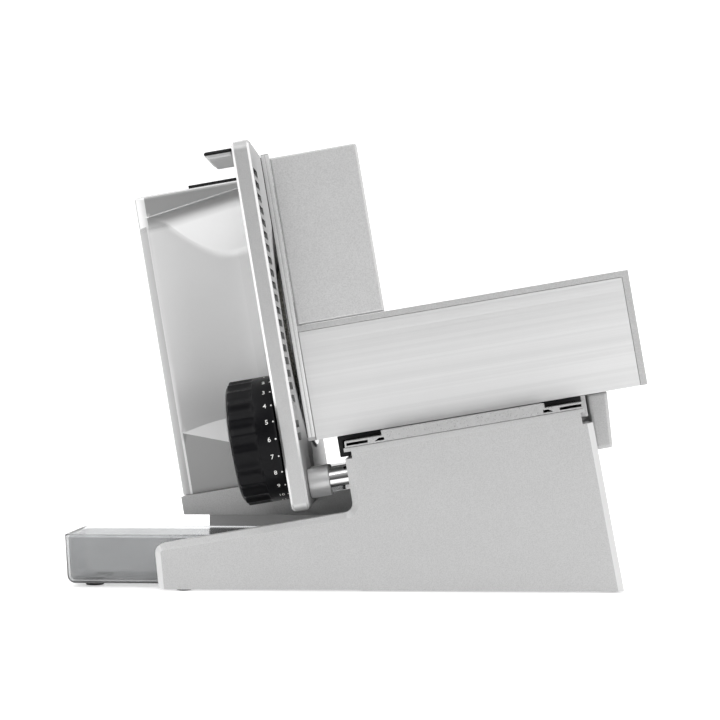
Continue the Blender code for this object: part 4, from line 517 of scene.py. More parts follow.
SCOOP_DEPTH = 0.0222
SCOOP_RUN = 0.058
COVE_LIP = 0.004
COVE_LIP_RUN = 0.009
COVE_SLOPE = 0.45
BROW_DROP_LEFT = 0.0165
BROW_DROP_RIGHT = 0.0042
LEDGE_LEFT_UP = 0.0207
LEDGE_SLOPE = 0.368
LEDGE_RIGHT_UP = -0.008
HOUSING_CORNER = 0.008
BACK_CORNER = 0.012
TOP_EDGE_RADIUS = 0.003
CORNER_STEPS = 8
FRONT_STEPS = 56
BACK_STEPS = 6
ROW_GAP = 0.0004
FACE_TOLERANCE = 0.0006
BROW_LINE = 0.0009
BROW_SHADE = 0.012


def brow_up(across):
    """Height of the edge over the hollow."""
    share = (across - HOUSING_LEFT) / (HOUSING_RIGHT - HOUSING_LEFT)
    return HOUSING_TOP - BROW_DROP_LEFT + (BROW_DROP_LEFT - BROW_DROP_RIGHT) * share


def ledge_up(across):
    """Height at which the hollow begins."""
    return max(LEDGE_RIGHT_UP, LEDGE_LEFT_UP - LEDGE_SLOPE * (across - HOUSING_LEFT))


def scoop_depth(across, up):
    """How far the housing's front is hollowed: a slanting plane, a cove above, a ledge below."""
    below_brow = max(0.0, brow_up(across) - up)
    turned = 1 - min(1.0, below_brow / COVE_LIP_RUN)
    cove = COVE_SLOPE * below_brow + COVE_LIP * (1 - turned ** 2)
    return min(plane_depth(across), cove, max(0.0, up - ledge_up(across)))


def plane_depth(across):
    """Depth of the hollow's slanting plane, which levels out to the right."""
    share = (across - HOUSING_LEFT - HOUSING_CORNER) / SCOOP_RUN
    return SCOOP_DEPTH * math.sin(math.pi / 2 * max(0.0, min(1.0, share)))


def even_steps(low, high, count):
    """Evenly spaced values from low up to, but not at, high."""
    return [low + (high - low) * step / count for step in range(count)]


def housing_rows(across):
    """Up values of the housing's front at one place, denser where the brow and ledge turn."""
    ledge = ledge_up(across)
    slope_top = ledge + max(plane_depth(across), ROW_GAP)
    brow = brow_up(across)
    crease = brow - max(COVE_LIP_RUN, (plane_depth(across) - COVE_LIP) / COVE_SLOPE)
    edge = HOUSING_TOP - TOP_EDGE_RADIUS
    rows = even_steps(HOUSING_BOTTOM, ledge, 6)
    rows += even_steps(ledge, slope_top, 8)
    rows += even_steps(slope_top, crease, 24)
    rows += even_steps(crease, brow - COVE_LIP_RUN + ROW_GAP, 20)
    rows += [brow - COVE_LIP_RUN * (1 - step / 16) ** 1.5 for step in range(16)]
    rows += even_steps(brow, edge, 4)
    rows += [edge + TOP_EDGE_RADIUS * math.sin(math.pi / 2 * step / 5) for step in range(6)]
    return rows


def housing_columns():
    """Across values of the housing's front, denser round its left corner."""
    start = HOUSING_LEFT + HOUSING_CORNER
    columns = [HOUSING_LEFT + HOUSING_CORNER * (1 - math.cos(math.pi / 2 * step / CORNER_STEPS))
               for step in range(CORNER_STEPS + 1)]
    columns += [start + (HOUSING_RIGHT - start) * step / FRONT_STEPS
                for step in range(1, FRONT_STEPS + 1)]
    return columns


def front_depth(across, up):
    """Depth of the housing's front, with its scoop, its left corner and its top edge."""
    turn = max(0.0, HOUSING_CORNER - (across - HOUSING_LEFT))
    rounding = HOUSING_CORNER - math.sqrt(max(0.0, HOUSING_CORNER ** 2 - turn ** 2))
    depth = HOUSING_FRONT + max(rounding, scoop_depth(across, up))
    top_turn = max(0.0, up - (HOUSING_TOP - TOP_EDGE_RADIUS))
    return depth + TOP_EDGE_RADIUS - math.sqrt(max(0.0, TOP_EDGE_RADIUS ** 2 - top_turn ** 2))


def on_flat_front(corners):
    """Whether a face of the front lies in its plane, above the brow or below the ledge."""
    left, right = corners[0].co.x, corners[1].co.x
    ups = [vertex.co.z for vertex in corners]
    in_plane = max(vertex.co.y for vertex in corners) - HOUSING_FRONT < FACE_TOLERANCE
    past_corner = left > HOUSING_LEFT + HOUSING_CORNER - FACE_TOLERANCE
    above = min(ups) > brow_up(left) - FACE_TOLERANCE
    below = max(ups) < ledge_up(right) + FACE_TOLERANCE
    return in_plane and past_corner and (above or below)


def close_back(shape, border):
    """The housing's walls and back, from its front's border to rounded rear edges."""
    rings = [border]
    for step in range(BACK_STEPS + 1):
        turn = math.pi / 2 * step / BACK_STEPS
        shrink = BACK_CORNER * (1 - math.cos(turn))
        depth = HOUSING_BACK - BACK_CORNER + BACK_CORNER * math.sin(turn)
        ring = []
        for vertex in border:
            across = max(HOUSING_LEFT + shrink, vertex.co.x)
            up = min(HOUSING_TOP - shrink, vertex.co.z)
            ring.append(shape.verts.new((across, depth, up)))
        rings.append(ring)
    for first, second in zip(rings, rings[1:]):
        for index in range(len(border)):
            after = (index + 1) % len(border)
            shape.faces.new((first[index], first[after], second[after], second[index]))
    shape.faces.new(rings[-1])


def motor_housing():
    """The cast housing behind the blade, with its scoop and rounded edges."""
    shape = bmesh.new()
    grid = [[shape.verts.new((across, front_depth(across, up), up))
             for up in housing_rows(across)] for across in housing_columns()]
    flat_faces = []
    for left, right in zip(grid, grid[1:]):
        for low in range(len(left) - 1):
            corners = (left[low], right[low], right[low + 1], left[low + 1])
            if on_flat_front(corners):
                flat_faces.append(len(shape.faces))
            shape.faces.new(corners)
    border = [line[0] for line in grid] + grid[-1][1:]
    border += [line[-1] for line in reversed(grid[:-1])] + list(reversed(grid[0][1:-1]))
    close_back(shape, border)
    bmesh.ops.recalc_face_normals(shape, faces=shape.faces)
    shell = new_piece("motor_housing_shell", mesh_of(shape, "motor_housing", LEANING), "base",
                      "silver_paint", SILVER_FINE, "motor_housing", smooth=38)
    # Painted shade: the flat front faces above the brow and below the ledge take the darker copy
    # of the paint
    shell.data.materials.append(SILVER_FACE_SHADE)
    for index in flat_faces:
        shell.data.polygons[index].material_index = 1
    # Painted shade: the hollow's paint darkens in a band just under the brow
    refinish(shell, scoop_paint(), in_scoop)
    # Painted highlight on the narrow rounding under the brow
    refinish(shell, SILVER_EDGE_HIGHLIGHT, on_brow)
    # Painted shade on the housing's outer walls, tops and front left corner
    refinish(shell, SILVER_DULL_SHADE, shaded_corner)


def shaded_corner(place, facing):
    """Where the housing takes painted shade: its outer walls, faces turned up, and its front left
    corner below the brow.
    """
    outside = place.y > HOUSING_FRONT + SCOOP_DEPTH + FACE_TOLERANCE
    turned = facing.x < -0.12 and place.x < HOUSING_LEFT + HOUSING_CORNER
    below_brow = place.z < brow_up(place.x) - COVE_LIP_RUN * 0.7
    return outside or facing.z > 0.8 or (turned and (below_brow or facing.x < -0.8))


def in_scoop(place, facing):
    """The faces of the hollow itself."""
    between = ledge_up(place.x) < place.z < brow_up(place.x) - BROW_LINE
    past_corner = place.x > HOUSING_LEFT + HOUSING_CORNER
    return between and past_corner and place.y < HOUSING_FRONT + SCOOP_DEPTH and -facing.y > 0.3


def on_brow(place, facing):
    """The narrow rounding right under the brow, where a painted highlight goes."""
    below = brow_up(place.x) - place.z
    past_corner = place.x > HOUSING_LEFT + HOUSING_CORNER
    return past_corner and 0 < below < BROW_LINE and place.y < HOUSING_FRONT + SCOOP_DEPTH


def scoop_paint():
    """The housing's paint in the hollow, with painted shade just under the brow."""
    made, tree, shader = new_material("silver_paint_scoop_shade", grey(0.88), 0.34, 0.34)
    place = place_coordinates(tree)
    start = lean(HOUSING_LEFT, 0, brow_up(HOUSING_LEFT))
    along = (lean(HOUSING_RIGHT, 0, brow_up(HOUSING_RIGHT)) - start).normalized()
    offset = tree.nodes.new("ShaderNodeVectorMath")
    offset.operation = "SUBTRACT"
    offset.inputs[1].default_value = start
    tree.links.new(place, offset.inputs[0])
    below = tree.nodes.new("ShaderNodeVectorMath")
    below.operation = "DOT_PRODUCT"
    below.inputs[1].default_value = (along.z, 0, -along.x)
    tree.links.new(offset.outputs["Vector"], below.inputs[0])
    share = spread(tree, below.outputs["Value"], 0.0, 1.0, 0.0, BROW_SHADE)
    clouds = noise(tree, place, ENAMEL_CLOUD_SCALE)
    # Painted shade: dark right under the brow, full paint colour from BROW_SHADE below it
    tint = ramp(tree, share, [(0.0, grey(0.30)), (0.35, grey(0.40)), (1.0, grey(0.90))])
    faint = ramp(tree, clouds, [(0.3, grey(0.985)), (0.7, grey(1.0))])
    tree.links.new(mixed(tree, tint, faint, 1.0), shader.inputs["Base Color"])
    tree.links.new(spread(tree, clouds, 0.32, 0.36), shader.inputs["Roughness"])
    return made


# Thickness dial

NUMBER_HEIGHT = 0.0044
NUMBER_ACROSS = -0.0213
DOT_ACROSS = -0.0170
DOT_RADIUS = 0.00055
PRINT_SUNK = 0.00005
PRINT_PROUD = 0.00012
FRONT_READING = 6
FLUTE_END = DIAL_LEFT + 0.0175
FLUTE_DEPTH = 0.0016
FLUTE_FADE = 0.0035
FLUTE_POINTS = 14
LEFT_EDGE = 0.0011


def dial_depth_at(turn, depth):
    """How far a flute cuts in at an angle: wide round-bottomed grooves between ridges."""
    phase = (turn * FLUTE_COUNT / (2 * math.pi)) % 1.0
    return depth * (0.5 + 0.5 * math.cos(2 * math.pi * (phase - 0.5))) ** 0.7


def dial_levels():
    """Rings of the dial from left to right: place, shrinking of the radius, share of flute."""
    plain_start = DIAL_LEFT + LEFT_EDGE
    fade_start = FLUTE_END - FLUTE_FADE
    levels = [(DIAL_LEFT + 0.0001, 0.0012, 0.6), (DIAL_LEFT + 0.0004, 0.0005, 0.9),
              (plain_start, 0.0, 1.0)]
    levels += [(plain_start + (fade_start - plain_start) * step / 6, 0.0, 1.0)
               for step in range(1, 7)]
    levels += [(fade_start + FLUTE_FADE * step / 8, 0.0, math.sqrt(1 - (step / 8) ** 2))
               for step in range(1, 9)]
    levels += [(FLUTE_END + 0.0012, 0.0, 0.0), (DIAL_RIGHT - 0.0010, 0.0, 0.0),
               (DIAL_RIGHT - 0.0003, 0.0003, 0.0), (DIAL_RIGHT, 0.0010, 0.0),
               (DIAL_RIGHT, 0.010, 0.0)]
    return levels


def thickness_dial():
    """The fluted dial: round-ended grooves on the left, a smooth scale ring on the right."""
    steps = FLUTE_COUNT * FLUTE_POINTS
    shape = bmesh.new()
    rows = []
    for level, shrink, flute in dial_levels():
        row = []
        for step in range(steps):
            turn = 2 * math.pi * step / steps
            radius = DIAL_RADIUS - shrink - dial_depth_at(turn, FLUTE_DEPTH * flute)
            row.append(shape.verts.new((level, radius * math.cos(turn), radius * math.sin(turn))))
        rows.append(row)
    for low, high in zip(rows, rows[1:]):
        for step in range(steps):
            after = (step + 1) % steps
            shape.faces.new((low[step], low[after], high[after], high[step]))
    shape.faces.new(rows[0])
    shape.faces.new(rows[-1])
    bmesh.ops.recalc_face_normals(shape, faces=shape.faces)
    mesh = mesh_of(shape, "dial", lean_place(DIAL_DEPTH, DIAL_UP))
    new_piece("dial_body", mesh, "dial", "black_plastic", BLACK_GLOSS, "thickness_dial", smooth=50)


def dial_print():
    """The scale's numbers and dots, laid on the dial's ring as thin raised print."""
    shape = bmesh.new()
    step_turn = 2 * math.pi / FLUTE_COUNT
    for reading in range(FLUTE_COUNT):
        turn = (FRONT_READING - reading) * step_turn
        text = bpy.data.curves.new("number", "FONT")
        text.body = str(reading)
        text.size = NUMBER_HEIGHT
        text.align_x = "CENTER"
        text.align_y = "CENTER"
        text.resolution_u = 3
        text.offset = 0.00004
        add_print(shape, evaluated_mesh(link("number", text)), turn, NUMBER_ACROSS)
        dot = bmesh.new()
        bmesh.ops.create_circle(dot, cap_ends=True, segments=16, radius=DOT_RADIUS)
        add_print(shape, mesh_of(dot, "dot"), turn, DOT_ACROSS)
    mesh = mesh_of(shape, "dial_print", lean_place(DIAL_DEPTH, DIAL_UP))
    new_piece("dial_scale_print", mesh, "dial", "white_plastic", PRINT)


def add_print(shape, flat, turn, across):
    """Bend a flat mark round the dial at an angle above its front, and give it thickness."""
    mark = bmesh.new()
    mark.from_mesh(flat)
    bmesh.ops.triangulate(mark, faces=mark.faces)
    raised = bmesh.ops.extrude_face_region(mark, geom=list(mark.faces))
    top = [item for item in raised["geom"] if isinstance(item, bmesh.types.BMVert)]
    radius = {vertex: DIAL_RADIUS - PRINT_SUNK for vertex in mark.verts}
    radius.update({vertex: DIAL_RADIUS + PRINT_PROUD for vertex in top})
    for vertex in mark.verts:
        angle = turn + vertex.co.y / DIAL_RADIUS
        distance = radius[vertex]
        vertex.co = (across + vertex.co.x, -distance * math.cos(angle),
                     distance * math.sin(angle))
    bmesh.ops.recalc_face_normals(mark, faces=mark.faces)
    shape.from_mesh(mesh_of(mark, "mark"))


# Blade, rods and fasteners

BLADE_BORE = 0.0073
GROUND_EDGE = 0.0075
BAND_OUTER = 0.0018
BAND_INNER = 0.018
BAND_SUNK = 0.00015
BLADE_TURN_STEPS = 180
SCRATCH_SCALE = 2600
ROD_LEFT = -0.0077
ROD_RIGHT = 0.078
ROD_BORE = 0.0043
ROD_EDGE = 0.0008
SCREW_RADIUS = 0.0032
SCREW_SHANK = 0.010
BLADE_SCREW_LEFT = 0.0003
BLADE_SCREW_HEIGHT = 0.0010
HOUSING_SCREW_LEFT = -0.0032
PAN_HEIGHT = 0.0016
CROSS_TURN = 0.4


def blade():
    """The round blade: a ground rim, a hollow-ground band and a flat middle."""
    rim = BLADE_RADIUS
    profile = [(-BLADE_THICKNESS, BLADE_BORE), (-BLADE_THICKNESS, rim - GROUND_EDGE),
               (-BLADE_THICKNESS + 0.0004, rim - GROUND_EDGE + 0.0007), (-0.0004, rim - 0.0004),
               (-0.0002, rim), (0.0, rim - 0.0001), (0.0, rim - BAND_OUTER + 0.0002),
               (-BAND_SUNK, rim - BAND_OUTER), (-BAND_SUNK, rim - BAND_INNER),
               (0.0, rim - BAND_INNER - 0.0004), (0.0, BLADE_BORE)]
    mesh = lathe(profile, BLADE_TURN_STEPS, lean_place(BLADE_DEPTH, BLADE_UP))
    new_piece("blade_disc", mesh, "blade", "brushed_steel", BLADE_STEEL, "blade", smooth=4)


def blade_steel():
    """Ground steel whose fine scratches run round the axle."""
    made, tree, shader = new_material("blade_ground_steel", grey(0.66), 0.20, 1.0)
    place = place_coordinates(tree)
    shift = tree.nodes.new("ShaderNodeVectorMath")
    shift.operation = "SUBTRACT"
    shift.inputs[1].default_value = AXLE_POINT
    tree.links.new(place, shift.inputs[0])
    length = tree.nodes.new("ShaderNodeVectorMath")
    length.operation = "LENGTH"
    tree.links.new(shift.outputs["Vector"], length.inputs[0])
    rings = noise(tree, along_x(tree, length.outputs["Value"]), SCRATCH_SCALE, 3.0, 0.7)
    tint = ramp(tree, rings, [(0.3, grey(0.58)), (0.7, grey(0.70))])
    tree.links.new(tint, shader.inputs["Base Color"])
    tree.links.new(spread(tree, rings, 0.14, 0.30), shader.inputs["Roughness"])
    bump(tree, shader, rings, 0.08, 0.0001)
    return made


def along_x(tree, value):
    """A vector whose first part is a number, for a texture that varies along it only."""
    node = tree.nodes.new("ShaderNodeCombineXYZ")
    tree.links.new(value, node.inputs["X"])
    return node.outputs["Vector"]


BLADE_STEEL = blade_steel()


def guide_rods():
    """The two chromed rods between the stop plate and the base; the front one is bored."""
    solid = [(ROD_LEFT, 0), (ROD_LEFT, ROD_RADIUS), (ROD_RIGHT, ROD_RADIUS), (ROD_RIGHT, 0)]
    bored = [(ROD_LEFT, ROD_BORE), (ROD_RIGHT, ROD_BORE), (ROD_RIGHT, ROD_RADIUS),
             (ROD_LEFT, ROD_RADIUS)]
    for name, profile in (("front", bored), ("rear", solid)):
        mesh = lathe(eased(profile, ROD_EDGE), 72, lean_place(ROD_DEPTHS[name], ROD_UP))
        new_piece(f"rod_{name}_chromed", mesh, "stop", "chrome", CHROME, f"guide_rod_{name}",
                  smooth=30)


def recessed_screw(node, body, place, height):
    """A pan-head screw with a cross recess; its axis is local X and its head faces +X."""
    radius = SCREW_RADIUS
    shank = radius * 0.47
    head = [(-SCREW_SHANK, 0), (-SCREW_SHANK, shank), (0, shank), (0, radius)]
    for step in range(5):
        turn = math.pi / 2 * step / 5
        head.append((height * (0.35 + 0.65 * math.sin(turn)),
                     radius * (0.55 + 0.45 * math.cos(turn))))
    head += [(height, radius * 0.5), (height, 0)]
    mesh = lathe(head, 28)
    for turn in (0, math.pi / 2):
        tool = bmesh.new()
        bmesh.ops.create_cube(tool, size=1.0)
        bmesh.ops.scale(tool, vec=(height * 1.2, radius * 1.1, radius * 0.24),
                        verts=tool.verts)
        turned = (Matrix.Translation((height, 0, 0))
                  @ Matrix.Rotation(turn + CROSS_TURN, 4, "X"))
        mesh = subtract(mesh, mesh_of(tool, "cutter", turned))
    mesh.transform(place)
    new_piece(f"{node}_cross", mesh, body, "brushed_steel", SATIN, node, smooth=30)


def subtract(mesh, tool_mesh):
    """The mesh less a tool, by an exact Boolean."""
    tool = link("tool", tool_mesh)
    result = applied(mesh, ("BOOLEAN", {"operation": "DIFFERENCE", "solver": "EXACT",
                                        "object": tool}))
    bpy.data.objects.remove(tool)
    return result


def node_centre(node):
    """The middle of a CAD node's box."""
    low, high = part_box(node)
    return (low + high) / 2


def leaning_screw(node, body, left, height):
    """A screw along the blade's axle, in the middle of its node."""
    middle = LEANING.inverted() @ node_centre(node)
    place = LEANING @ Matrix.Translation((left, middle.y, middle.z))
    recessed_screw(node, body, place, height)


def screws():
    """Cross-head screws in the blade, the drive plate and the bottom cover."""
    for number in range(1, 4):
        leaning_screw(f"blade_screw_{number}", "blade", BLADE_SCREW_LEFT, BLADE_SCREW_HEIGHT)
    for number in range(1, 3):
        leaning_screw(f"housing_screw_{number}", "base", HOUSING_SCREW_LEFT, PAN_HEIGHT)
    for number in range(1, 5):
        node = f"bottom_screw_{number}"
        middle = node_centre(node)
        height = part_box(node)[0].z + PAN_HEIGHT
        place = (Matrix.Translation((middle.x, middle.y, height))
                 @ Matrix.Rotation(math.pi / 2, 4, "Y"))
        recessed_screw(node, "base", place, PAN_HEIGHT)


# Slice tray and feet

TRAY_WALL = 0.0022
TRAY_DRAFT = 0.0016
TRAY_BOTTOM_RADIUS = 0.0055
TRAY_CORNER = 0.008
TRAY_LEAST_CORNER = 0.0012
TRAY_RIM = 0.0019
TRAY_STEPS = 6
FOOT_CUP_DEPTH = 0.0004


def tray_outline(low, high, shrink):
    """The tray's rounded plan, drawn in from its box by a distance."""
    radius = max(TRAY_LEAST_CORNER, TRAY_CORNER - shrink)
    points = []
    centres = [(high.x, high.y, 0), (low.x, high.y, 90), (low.x, low.y, 180),
               (high.x, low.y, 270)]
    for x, y, start in centres:
        side_x = x - math.copysign(shrink + radius, x - (low.x + high.x) / 2)
        side_y = y - math.copysign(shrink + radius, y - (low.y + high.y) / 2)
        for step in range(9):
            turn = math.radians(start + 90 * step / 8)
            points.append((side_x + radius * math.cos(turn), side_y + radius * math.sin(turn)))
    return points


def tray_levels(bottom, top):
    """Rings of the tray, up its outside, over its rim and down its inside: (shrink, height)."""
    levels = []
    for step in range(TRAY_STEPS + 1):
        turn = math.pi / 2 * step / TRAY_STEPS
        levels.append((TRAY_DRAFT + TRAY_BOTTOM_RADIUS * (1 - math.sin(turn)),
                       bottom + TRAY_BOTTOM_RADIUS * (1 - math.cos(turn))))
    levels += [(0.0, top - TRAY_RIM), (0.0, top - 0.0008), (0.0004, top - 0.0001),
               (0.0010, top), (TRAY_WALL - 0.0005, top), (TRAY_WALL, top - 0.0006),
               (TRAY_WALL, top - TRAY_RIM)]
    inner = TRAY_BOTTOM_RADIUS - TRAY_WALL
    for step in range(TRAY_STEPS, -1, -1):
        turn = math.pi / 2 * step / TRAY_STEPS
        levels.append((TRAY_WALL + TRAY_DRAFT + inner * (1 - math.sin(turn)),
                       bottom + TRAY_WALL + inner * (1 - math.cos(turn))))
    return levels


def tray():
    """The clear tray with a rolled rim, drafted walls and a rounded bottom."""
    low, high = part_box("slice_tray")
    shape = bmesh.new()
    rings = [[shape.verts.new((x, y, z)) for x, y in tray_outline(low, high, shrink)]
             for shrink, z in tray_levels(low.z, high.z)]
    for first, second in zip(rings, rings[1:]):
        for index in range(len(first)):
            after = (index + 1) % len(first)
            shape.faces.new((first[index], first[after], second[after], second[index]))
    shape.faces.new(rings[0])
    shape.faces.new(rings[-1])
    bmesh.ops.recalc_face_normals(shape, faces=shape.faces)
    piece = new_piece("slice_tray_clear", mesh_of(shape, "tray"), "tray", "smoky_plastic", SMOKE,
                      "slice_tray", smooth=40)
    piece.data.materials.append(RIM_CLEAR)
    for face in piece.data.polygons:
        if face.center.z > high.z - TRAY_RIM:
            face.material_index = 1


def foot(node, body):
    """A rubber foot with a rounded edge and a shallow cup underneath."""
    low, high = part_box(node)
    radius = (high.x - low.x) / 2
    height = high.z - low.z
    profile = [(FOOT_CUP_DEPTH, 0), (FOOT_CUP_DEPTH, radius * 0.45), (0, radius * 0.55),
               (0, radius * 0.80)]
    for step in range(1, 5):
        turn = math.pi / 2 * step / 4
        profile.append((height * 0.22 * (1 - math.cos(turn)),
                        radius * (0.80 + 0.20 * math.sin(turn))))
    profile += [(height, radius), (height, 0)]
    middle = node_centre(node)
    place = (Matrix.Translation((middle.x, middle.y, low.z))
             @ Matrix.Rotation(-math.pi / 2, 4, "Y"))
    new_piece(f"{node}_moulded", lathe(profile, 40, place), body, "black_rubber", RUBBER, node)


def feet():
    """The feet of the base and of the tray."""
    for side in ("left", "right"):
        for end in ("front", "rear"):
            foot(f"foot_{end}_{side}", "base")
            foot(f"tray_foot_{end}_{side}", "tray")


# Everything else keeps its solid's shape; the dressed ones get real edge radii, the plain ones
# none

BASE_EDGE = 0.0026
BASE_CHAMFER = 0.0042
LEG_LEFT = -0.095
BASE_WALL = 0.012
SHELF_BOTTOM = -0.0528
BASE_FRONT_TOP = -0.0145
STOP_FACE = -0.003
STOP_FRONT = 0.008
STOP_ROUNDING = 0.0030
STOP_SLOT_DEPTH = 0.0018
STOP_SLOT_FRONT = 0.0131
STOP_SLOT_BACK = 0.0369
STOP_SLOT_TOP = 0.186
LONG_EDGE = 0.02
TRIM_BOTTOM = 0.001
TRIM_EDGE = 0.00012
# Corners of a black strip that stands for the shade in the gap between the stop plate and the
# carriage
GAP_SHADE_LOW = (0.0016, 0.0285, TRIM_BOTTOM)
GAP_SHADE_HIGH = (0.0021, 0.0330, 0.1915)
STRIP_SIDES = {"inner": (0.0022, 0.0045), "outer": (0.0048, 0.0070)}
STRIP_FRONT = 0.0277
STRIP_BACK = 0.0281
STRIP_TOP = 0.1928


def base_front_edge(first, second):
    """The long edges of the base's front face, but not those along its top."""
    at_front = max(first.y, second.y) < 0.0002
    below_top = min(first.z, second.z) < BASE_FRONT_TOP
    return at_front and below_top and (second - first).length > LONG_EDGE


def base_rounding(place, facing):
    """The inner part of the rounding on the base's right edge and on its leg's left, where a
    painted highlight goes.
    """
    along_edge = facing.x > 0.2 or (place.x < LEG_LEFT and facing.x < -0.2)
    return place.y < BASE_CHAMFER and 0.45 < -facing.y < 0.97 and along_edge


def under_housing(place, facing):
    """The base's inner walls below the shelf that carries the housing, which take painted shade.
    """
    return place.y > BASE_WALL and -facing.y > 0.7 and place.z < SHELF_BOTTOM


def stop_rounding(place, facing):
    """The stop plate's front edges, left and right, where a painted highlight goes."""
    in_front = place.y < STOP_FRONT + STOP_ROUNDING
    return in_front and 0.20 < -facing.y < 0.97 and abs(facing.x) > 0.3


def thin_strip(name, low, high):
    """A thin strip along the carriage's edge, between two leaning corners."""
    low = Vector(low)
    high = Vector(high)
    shape = bmesh.new()
    bmesh.ops.create_cube(shape, size=1.0)
    bmesh.ops.scale(shape, vec=high - low, verts=shape.verts)
    bmesh.ops.translate(shape, vec=(low + high) / 2, verts=shape.verts)
    mesh = applied(mesh_of(shape, name), bevelled(TRIM_EDGE, 2))
    mesh.transform(LEANING)
    return mesh


def edge_trim():
    """A black strip for painted shade in the gap at the carriage's edge, and two bright lines
    along that edge at the blade.
    """
    # Painted shade: a thin black strip where the gap at the carriage's edge lies in shadow
    gap_shade = thin_strip("gap_shade", GAP_SHADE_LOW, GAP_SHADE_HIGH)
    new_piece("carriage_edge_gap_shade", gap_shade, "carriage", "black_plastic", BLACK)
    for name, (left, right) in STRIP_SIDES.items():
        strip = thin_strip(name, (left, STRIP_FRONT, TRIM_BOTTOM), (right, STRIP_BACK, STRIP_TOP))
        new_piece(f"carriage_edge_{name}", strip, "carriage", "silver_paint", SILVER_STRIP)


def inside_slots(place, facing):
    """The floor and walls of the shallow slots in the stop plate's face, which take painted shade.
    """
    in_depth = STOP_FACE - STOP_SLOT_DEPTH - 0.0002 < place.x < STOP_FACE - 0.0003
    in_width = STOP_SLOT_FRONT < place.y < STOP_SLOT_BACK
    return in_depth and in_width and 0 < place.z < STOP_SLOT_TOP


# Node: width of its rounded edges, finish, steps of the rounding
DRESSED_NODES = {
    "stop_grip": (0.0012, SILVER_DARK, 3),
    "stop_grip_pad": (0.0005, RUBBER, 2),
    "hand_guard": (0.0004, SILVER_GUARD, 2),
    "carriage_frame": (0.0003, SILVER, 2),
    "carriage_hook": (0.0003, ALUMINIUM, 2),
    "carriage_panel": (0.0002, BRUSHED, 2),
    "carriage_floor": (0.0002, BRUSHED, 2),
    "carriage_pull": (0.0012, SILVER, 3),
    "rod_collar_front": (0.0011, SILVER_SATIN, 3),
    "rod_collar_rear": (0.0011, SILVER_SATIN, 3),
    "glide_left": (0.0003, BLACK, 2),
    "glide_right": (0.0003, BLACK, 2),
    "drive_plate": (0.0006, SILVER_DULL_SHADE, 2),
    "switch_rocker": (0.0005, BLACK, 2),
    "dial_rim": (0.0003, RIM_GREY, 2),
    "rod_bush_front": (0.0003, BLACK, 2),
    "rod_bush_rear": (0.0003, BLACK, 2),
    "blade_cap": (0.00012, BLACK, 2),
    "cord_gland": (0.0005, RUBBER, 2),
    "bottom_cover": (0.0004, BLACK, 2),
}
PLAIN_FINISHES = {
    "blade_axle": SATIN, "carriage_rail": ALUMINIUM, "blade_gear": WHITE, "dial_gear": WHITE,
    "drive_pinion": SATIN, "gear_cover": ALUMINIUM, "gearbox_case": ALUMINIUM,
    "hub_bush": BRASS, "lead_spindle": SATIN, "motor_can": BRUSHED_ROUND,
    "rod_bracket": ALUMINIUM, "spindle_nut": BRASS, "switch_body": WHITE,
}


def dressed_nodes():
    """The solids that are shown with rounded edges."""
    base = dressed("base_housing", 0.0008, SILVER, 2, wide=(BASE_EDGE, base_front_edge))
    # Painted highlight on the rounding of the base's right edge and its leg's left
    refinish(base, SILVER_RIM_HIGHLIGHT, base_rounding)
    # Painted shade on the base's walls under the housing's shelf
    refinish(base, SILVER_BAY_SHADE, under_housing)
    plate = dressed("stop_plate", 0.0009, SILVER_PLATE, 3)
    # Painted shade: the food face takes the darker copy of the plate's paint
    refinish(plate, SILVER_SIDE_SHADE, lambda place, facing: facing.x > 0.9)
    # Painted shade in the stop plate's slots
    refinish(plate, SLOT_PAINTED_SHADE, inside_slots)
    # Painted highlight on the stop plate's rounded front edges
    refinish(plate, SILVER_EDGE_HIGHLIGHT, stop_rounding)
    for node, settings in DRESSED_NODES.items():
        dressed(node, *settings)


def plain_nodes():
    """The rail and the inner solids, shown as they are with a node material each."""
    for node, finish in PLAIN_FINISHES.items():
        for slot in NODES[node].material_slots:
            slot.material = finish


# Setting

FLOOR_REACH = 6.0
FLOOR_BACK = 1.5
FLOOR_TURN_RADIUS = 1.5
FLOOR_TURN_STEPS = 16
WALL_TOP = 5.0
FLOOR_GLOW = 0.45
STUDIO_FRONT = 0.12
STUDIO_BACK = 1.0
DIM_FROM = -0.95
BRIGHT_FROM = -0.40


def setting():
    """A pale floor that curves up behind, and the surroundings."""
    profile = [(-FLOOR_REACH, 0.0), (FLOOR_BACK, 0.0)]
    for step in range(1, FLOOR_TURN_STEPS + 1):
        turn = math.pi / 2 * step / FLOOR_TURN_STEPS
        profile.append((FLOOR_BACK + FLOOR_TURN_RADIUS * math.sin(turn),
                        FLOOR_TURN_RADIUS * (1 - math.cos(turn))))
    profile.append((FLOOR_BACK + FLOOR_TURN_RADIUS, WALL_TOP))
    shape = bmesh.new()
    lines = []
    for x in (-FLOOR_REACH, FLOOR_REACH):
        lines.append([shape.verts.new((x, y, z)) for y, z in profile])
    for index in range(len(profile) - 1):
        shape.faces.new((lines[0][index], lines[1][index], lines[1][index + 1],
                         lines[0][index + 1]))
    mesh = mesh_of(shape, "floor")
    mesh.shade_smooth()
    made, tree, shader = new_material("pale_floor", grey(0.90), 0.55)
    shader.inputs["Emission Color"].default_value = (*grey(1.0), 1.0)
    shader.inputs["Emission Strength"].default_value = FLOOR_GLOW
    cloud = noise(tree, place_coordinates(tree), 3.0, 2.0, 0.5)
    tree.links.new(ramp(tree, cloud, [(0.3, grey(0.89)), (0.7, grey(0.91))]),
                   shader.inputs["Base Color"])
    mesh.materials.append(made)
    link("floor", mesh)
    studio()


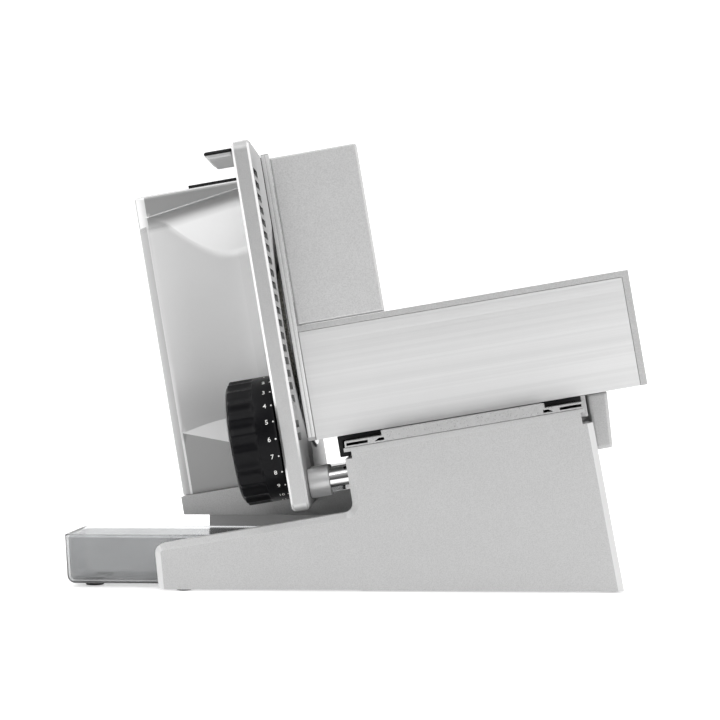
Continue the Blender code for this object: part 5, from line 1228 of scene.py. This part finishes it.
def studio():
    """Soft surroundings: bright behind and beside the object, dimmer behind the camera."""
    world = bpy.data.worlds.new("studio")
    bpy.context.scene.world = world
    world.use_nodes = True
    tree = world.node_tree
    source = tree.nodes.new("ShaderNodeTexCoord")
    parts = tree.nodes.new("ShaderNodeSeparateXYZ")
    tree.links.new(source.outputs["Generated"], parts.inputs["Vector"])
    level = spread(tree, parts.outputs["Y"], STUDIO_FRONT, STUDIO_BACK, DIM_FROM, BRIGHT_FROM)
    background = tree.nodes["Background"]
    tree.links.new(level, background.inputs["Strength"])
    background.inputs["Color"].default_value = (*grey(1.0), 1.0)


def area_light(name, place, target, size, power):
    """A soft rectangular light that shines on a target."""
    lamp = bpy.data.lights.new(name, "AREA")
    lamp.shape = "RECTANGLE"
    lamp.size, lamp.size_y = size
    lamp.energy = power
    holder = link(name, lamp)
    holder.location = place
    holder.rotation_euler = (Vector(target) - Vector(place)).to_track_quat("-Z", "Y").to_euler()


def lights():
    """A soft key light, a fill light and a weak rim light."""
    area_light("key_above_left", (-0.9, -0.9, 1.3), (0, 0, 0.12), (0.9, 0.9), 4.5)
    area_light("fill_right", (0.9, -1.1, 0.5), (0, 0, 0.12), (0.8, 1.0), 2.4)
    area_light("rim_behind", (-0.5, 1.2, 1.1), (0, 0, 0.15), (0.8, 0.6), 5)


CAMERA_FROM_WORKS = Vector((0.0778, -1.0, 0.0348))
TARGET_FROM_WORKS = Vector((0.0378, 0, 0.0528))
CAMERA_LENS = 77.02


def camera():
    """The camera at the photograph's viewing angle."""
    data = bpy.data.cameras.new("camera")
    data.lens = CAMERA_LENS
    data.sensor_width = 36
    data.clip_end = 50
    holder = link("camera", data)
    holder.location = WORKS_ORIGIN + CAMERA_FROM_WORKS
    aim = TARGET_FROM_WORKS - CAMERA_FROM_WORKS
    holder.rotation_euler = aim.to_track_quat("-Z", "Y").to_euler()
    bpy.context.scene.camera = holder
    bpy.context.scene.view_settings.view_transform = "Standard"


motor_housing()
thickness_dial()
dial_print()
blade()
guide_rods()
screws()
tray()
feet()
dressed_nodes()
edge_trim()
plain_nodes()
setting()
lights()
camera()
